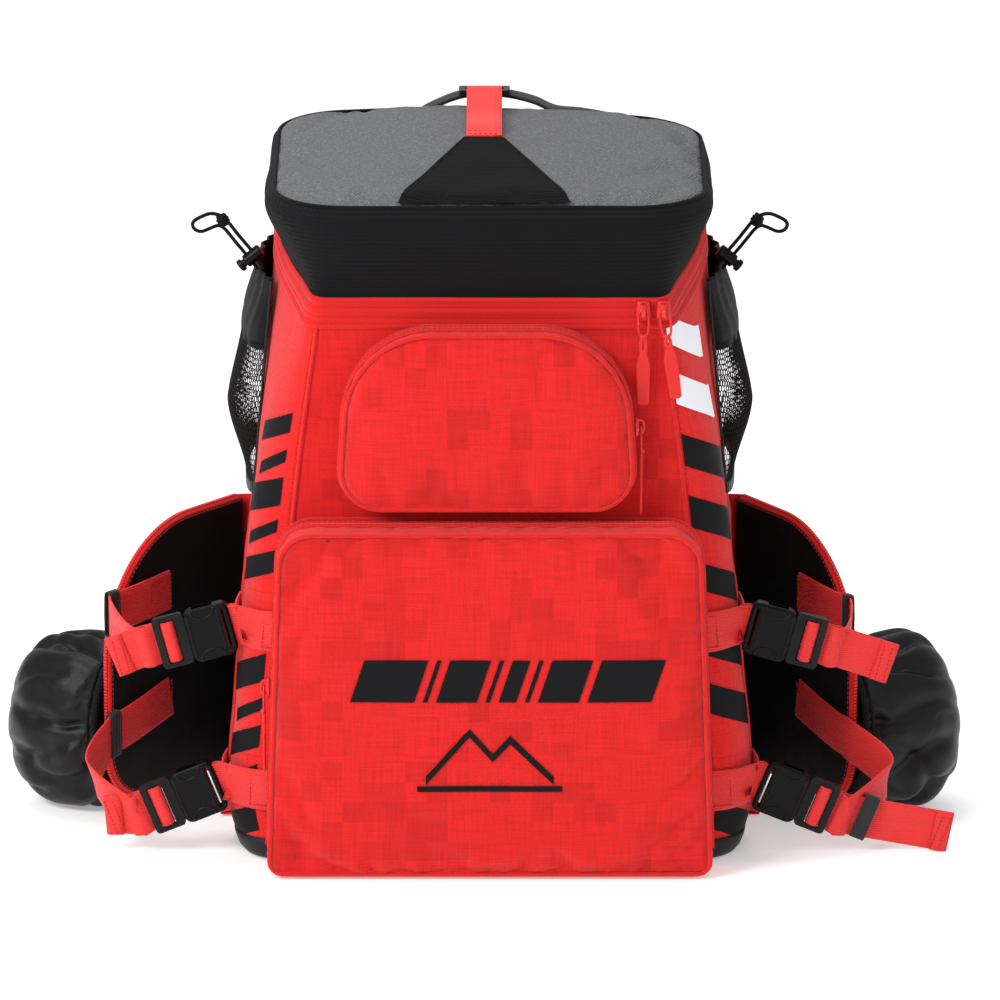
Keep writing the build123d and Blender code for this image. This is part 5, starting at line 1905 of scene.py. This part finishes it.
def make_pull(label, body, centre, turn, length, lean):
    """A wire link on the bridge, a cord loop in it, and a moulded grip at the end."""
    origin, across, front, up = slider_frame(centre, turn)
    pivot = origin + front * PIVOT_OUT
    t = radians(lean)
    down = (-up * cos(t) + across * sin(t)).normalized()
    side = (across * cos(t) + up * sin(t)).normalized()
    shape = Shape()
    link = [pivot + down * (LINK_DROP - LINK_HALF_LENGTH * sin(a))
            + side * (LINK_HALF_WIDTH * squared(cos(a), 0.6)) for a in circle(40)]
    shape.tube(link, LINK_RADIUS, closed=True)
    cord_start = pivot + down * 17.2
    grip_start = length - GRIP_LENGTH
    for s in (-1, 1):
        run = [cord_start + side * s * 0.4, cord_start + down * 4 + side * s * 1.6,
               pivot + down * (grip_start + 1) + side * s * 1.5]
        shape.tube(smooth_path(run, 1.5), CORD_RADIUS, slot=1)
    knot = [pivot + down * 17 - side * 2, pivot + down * 17.6 + front * 1.5, pivot + down * 17 + side * 2]
    shape.tube(smooth_path(knot, 1), CORD_RADIUS, slot=1)
    rings = []
    for share, w, h in GRIP_PROFILE:
        place = pivot + down * (grip_start + share * GRIP_LENGTH)
        rings.append([place + side * p.x * w + front * p.y * h for p in GRIP_OUTLINE])
    shape.solid(rings, 2)
    return shape.piece(f"{label}_pull_cord", [ENAMEL, RED_WEB, GRIP], body, (body,), "pull_red")


for label, slider_body, pull_body, centre, turn, lean, length in SLIDERS:
    make_slider(label, slider_body, centre, turn)
    pull = make_pull(label, pull_body, centre, turn, length, lean)
    if label == "main_one":
        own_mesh(pull)
    if label == "upper":
        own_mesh(pull)


# ------------------------------------------------------------------ wearer's side
PAD_HALF_WIDTH = 43
PAD_LOFT = 13.2
CHANNEL_PITCH, CHANNEL_DEPTH = 66, 3.0
SHOULDER_WEB_WIDTH = 25
SHOULDER_HALF_WIDTH, SHOULDER_TAPER, SHOULDER_HALF_THICKNESS = 31, 9, 5.2
# The shoulder strap's route as (x, y, z) on the right, from the yoke down to the ladder lock
SHOULDER_ROUTE = ((66, 122, 431), (66, 134, 434), (66, 146, 430), (68, 154.5, 405), (69, 158, 370),
                  (69.5, 159.5, 320), (69, 159, 270), (68, 157, 220), (66, 154.5, 180))


def mirrored(side, points, step):
    """A smooth path through points given for the right side."""
    return smooth_path([(side * x, y, z) for x, y, z in points], step)


def make_back_pads():
    """Two long back cushions of spacer mesh, channelled across, edged with black cloth."""
    low, high = cad("back_pads")
    half = PAD_HALF_WIDTH
    for side, name in SIDES:
        middle = Vector(((high.x - half) * side, (low.z + high.z) / 2))
        outline = rounded([(middle.x - half, low.z, 28), (middle.x + half, low.z, 28),
                           (middle.x + half, high.z, 28), (middle.x - half, high.z, 28)], 4)
        rings = [[Vector((p.x + n.x * 0.5, low.y - 1, p.y + n.y * 0.5))
                  for p, n in with_normals(outline)]]
        for share in even(1, 0, 24):
            ring = []
            for p in outline:
                here = middle + (p - middle) * max(share, 0.005)
                crown = PAD_LOFT * (1 - max(0, share) ** 7) ** 0.5
                groove = max(0, cos((here.y - middle.y) * 2 * pi / CHANNEL_PITCH)) ** 12
                channel = CHANNEL_DEPTH * groove * (1 - share ** 5)
                loft = max(0.6, crown - channel) + 0.4 * ripple((here.x, 0, here.y), 30, 5)
                ring.append(Vector((here.x, low.y + 0.5 + loft, here.y)))
            rings.append(ring)
        shape = Shape()
        shape.rows(rings, loop=True)
        nodes = ("back_pads",) if side == 1 else ()
        pad = shape.piece(f"{name}_back_pad", [PADDING], "root", nodes, "padded_mesh")
        edge = Shape()
        edge.tube([Vector((p.x, low.y + 1.4, p.y)) for p in outline], 1.8, closed=True)
        edge.piece(f"{name}_back_pad_edge", [BLACK_CLOTH], "root", slot="black_polyester")


def shoulder_half(share):
    """Half the shoulder strap's width: even, then narrower towards its foot."""
    return SHOULDER_HALF_WIDTH - SHOULDER_TAPER * max(0, (share - 0.55) / 0.45) ** 1.5


def make_shoulder_strap(side, name):
    """A soft padded strap, all of spacer mesh."""
    line = mirrored(side, SHOULDER_ROUTE, 5)
    rings = []
    for i, (p, ahead) in enumerate(zip(line, directions(line))):
        share = i / (len(line) - 1)
        wide = Vector((1, 0, 0))
        thick = ahead.cross(wide).normalized()
        if thick.y < 0:
            thick = -thick
        ends = min(1, 0.45 + 3.0 * min(share, 1 - share))
        ring = []
        for a in circle(36):
            x = shoulder_half(share) * squared(cos(a), 0.55)
            body = SHOULDER_HALF_THICKNESS * ends * squared(sin(a), 0.8)
            wrinkle = 0.7 * ripple((x, share * 300, sin(a) * 10), 18, 7 + side) * abs(sin(a))
            ring.append(p + wide * x + thick * (body + wrinkle))
        rings.append(ring)
    shape = Shape()
    shape.solid(rings)
    strap = shape.piece(f"{name}_shoulder_pad", [PADDING], "root", (f"{name}_shoulder_strap",),
                        "padded_mesh")


def make_shoulder_trim(side, name):
    """The strap's bound edges, and the webbing down its outside."""
    line = mirrored(side, SHOULDER_ROUTE, 5)
    trim = Shape()
    for s in (-1, 1):
        edge = []
        for i, p in enumerate(line):
            edge.append(p + Vector((s * (shoulder_half(i / (len(line) - 1)) - 0.6), 0, 0)))
        trim.tube(edge, 2.0)
    run = [p + Vector((0, 6.1, 0)) for p in line[4:]]
    trim.strap(run, (1, 0, 0), 24, 1.5, slot=1)
    trim.piece(f"{name}_shoulder_trim", [BLACK_CLOTH, BLACK_WEB], "root", slot="black_polyester")


def make_lower_webbing():
    """The webbing from each shoulder strap's ladder lock down to the bag's base corner."""
    shape = Shape()
    low, high = cad("ladder_locks")
    lock_y = (low.y + high.y) / 2
    run = ((66, 157, 200), (66, 156.5, 182), (66, lock_y + 3.2, 170), (66, lock_y + 3.4, 160),
           (66, lock_y + 0.2, 158), (66, lock_y - 3.2, 154), (66, lock_y + 0.2, 149),
           (67, lock_y - 2.5, 140), (92, 138, 100), (122, 124, 52), (138, 117.2, 22))
    tail = ((66, lock_y + 3.4, 157), (65, lock_y + 5.5, 146), (64, lock_y + 5.0, 110),
            (66, lock_y + 3.0, 80))
    for side, _ in SIDES:
        path = mirrored(side, run, 3)
        across = []
        for i in range(len(path)):
            share = max(0, (i / (len(path) - 1) - 0.35) / 0.65)
            across.append(Vector((1, 0, side * 0.62 * min(1, share * 1.6))))
        shape.strap(path, across, SHOULDER_WEB_WIDTH, 1.5)
        shape.strap(mirrored(side, tail, 3), (1, 0, 0), SHOULDER_WEB_WIDTH, 1.5)
    shape.piece("lower_shoulder_web", [BLACK_WEB], "root", ("shoulder_webbing",), "black_polyester")


def make_haul_handle():
    """The carrying loop at the top of the back, with its ends tucked in the yoke."""
    shape = Shape()
    loop = smooth_path([(0, 116, 401), (0, 124, 405), (0, 135, 414), (0, 138.5, 422), (0, 135, 431),
                        (0, 125, 440), (0, 116, 443)], 2.5)
    shape.strap(loop, (1, 0, 0), 25, 2.4)
    sleeve = smooth_path([(0, 129, 409.5), (0, 137.5, 416), (0, 139, 422), (0, 137.5, 428),
                          (0, 129, 435.5)], 2)
    shape.tube(sleeve, 4.2, 12, slot=1)
    shape.piece("haul_loop", [BLACK_WEB, BLACK_CLOTH], "root", ("haul_handle",), "black_polyester")


def make_base_tabs():
    """Small folded webbing tabs at the foot of each side."""
    shape = Shape()
    x = BASE_HALF_WIDTH
    fold = ((x - 2, 4, 6), (x + 8, 4, 5.4), (x + 17, 4, 3.4), (x + 18.5, 4, 2.4), (x + 16, 4, 1.6),
            (x - 1, 4, 2.4))
    for side, _ in SIDES:
        shape.strap(mirrored(side, fold, 2), (0, 1, 0), 22, 1.1)
    shape.piece("foot_tabs", [RED_WEB], "root", ("base_tabs",), "red_webbing")


make_back_pads()
for side, name in SIDES:
    make_shoulder_strap(side, name)
    make_shoulder_trim(side, name)
make_lower_webbing()
make_haul_handle()
make_base_tabs()


# ------------------------------------------------------------------ CAD pieces that stay shown
def finish_cad(node, material, soften=0.0):
    """Give a CAD node its material, and round its edges a little where asked."""
    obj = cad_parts[node]
    obj.data.materials.clear()
    obj.data.materials.append(material)
    if soften:
        add_modifier(obj, "BEVEL", width=soften * MM, segments=2, limit_method="ANGLE",
                     angle_limit=radians(40))


for node in ("main_floor", "boot_bay_divider"):
    finish_cad(node, LINING)
finish_cad("frame_sheet", SHEET)
for node in ("buckle_sockets", "buckle_clips", "ladder_locks", "lid_ring", "cord_locks",
             "left_cord_plunger", "right_cord_plunger"):
    finish_cad(node, ACETAL, 0.4)
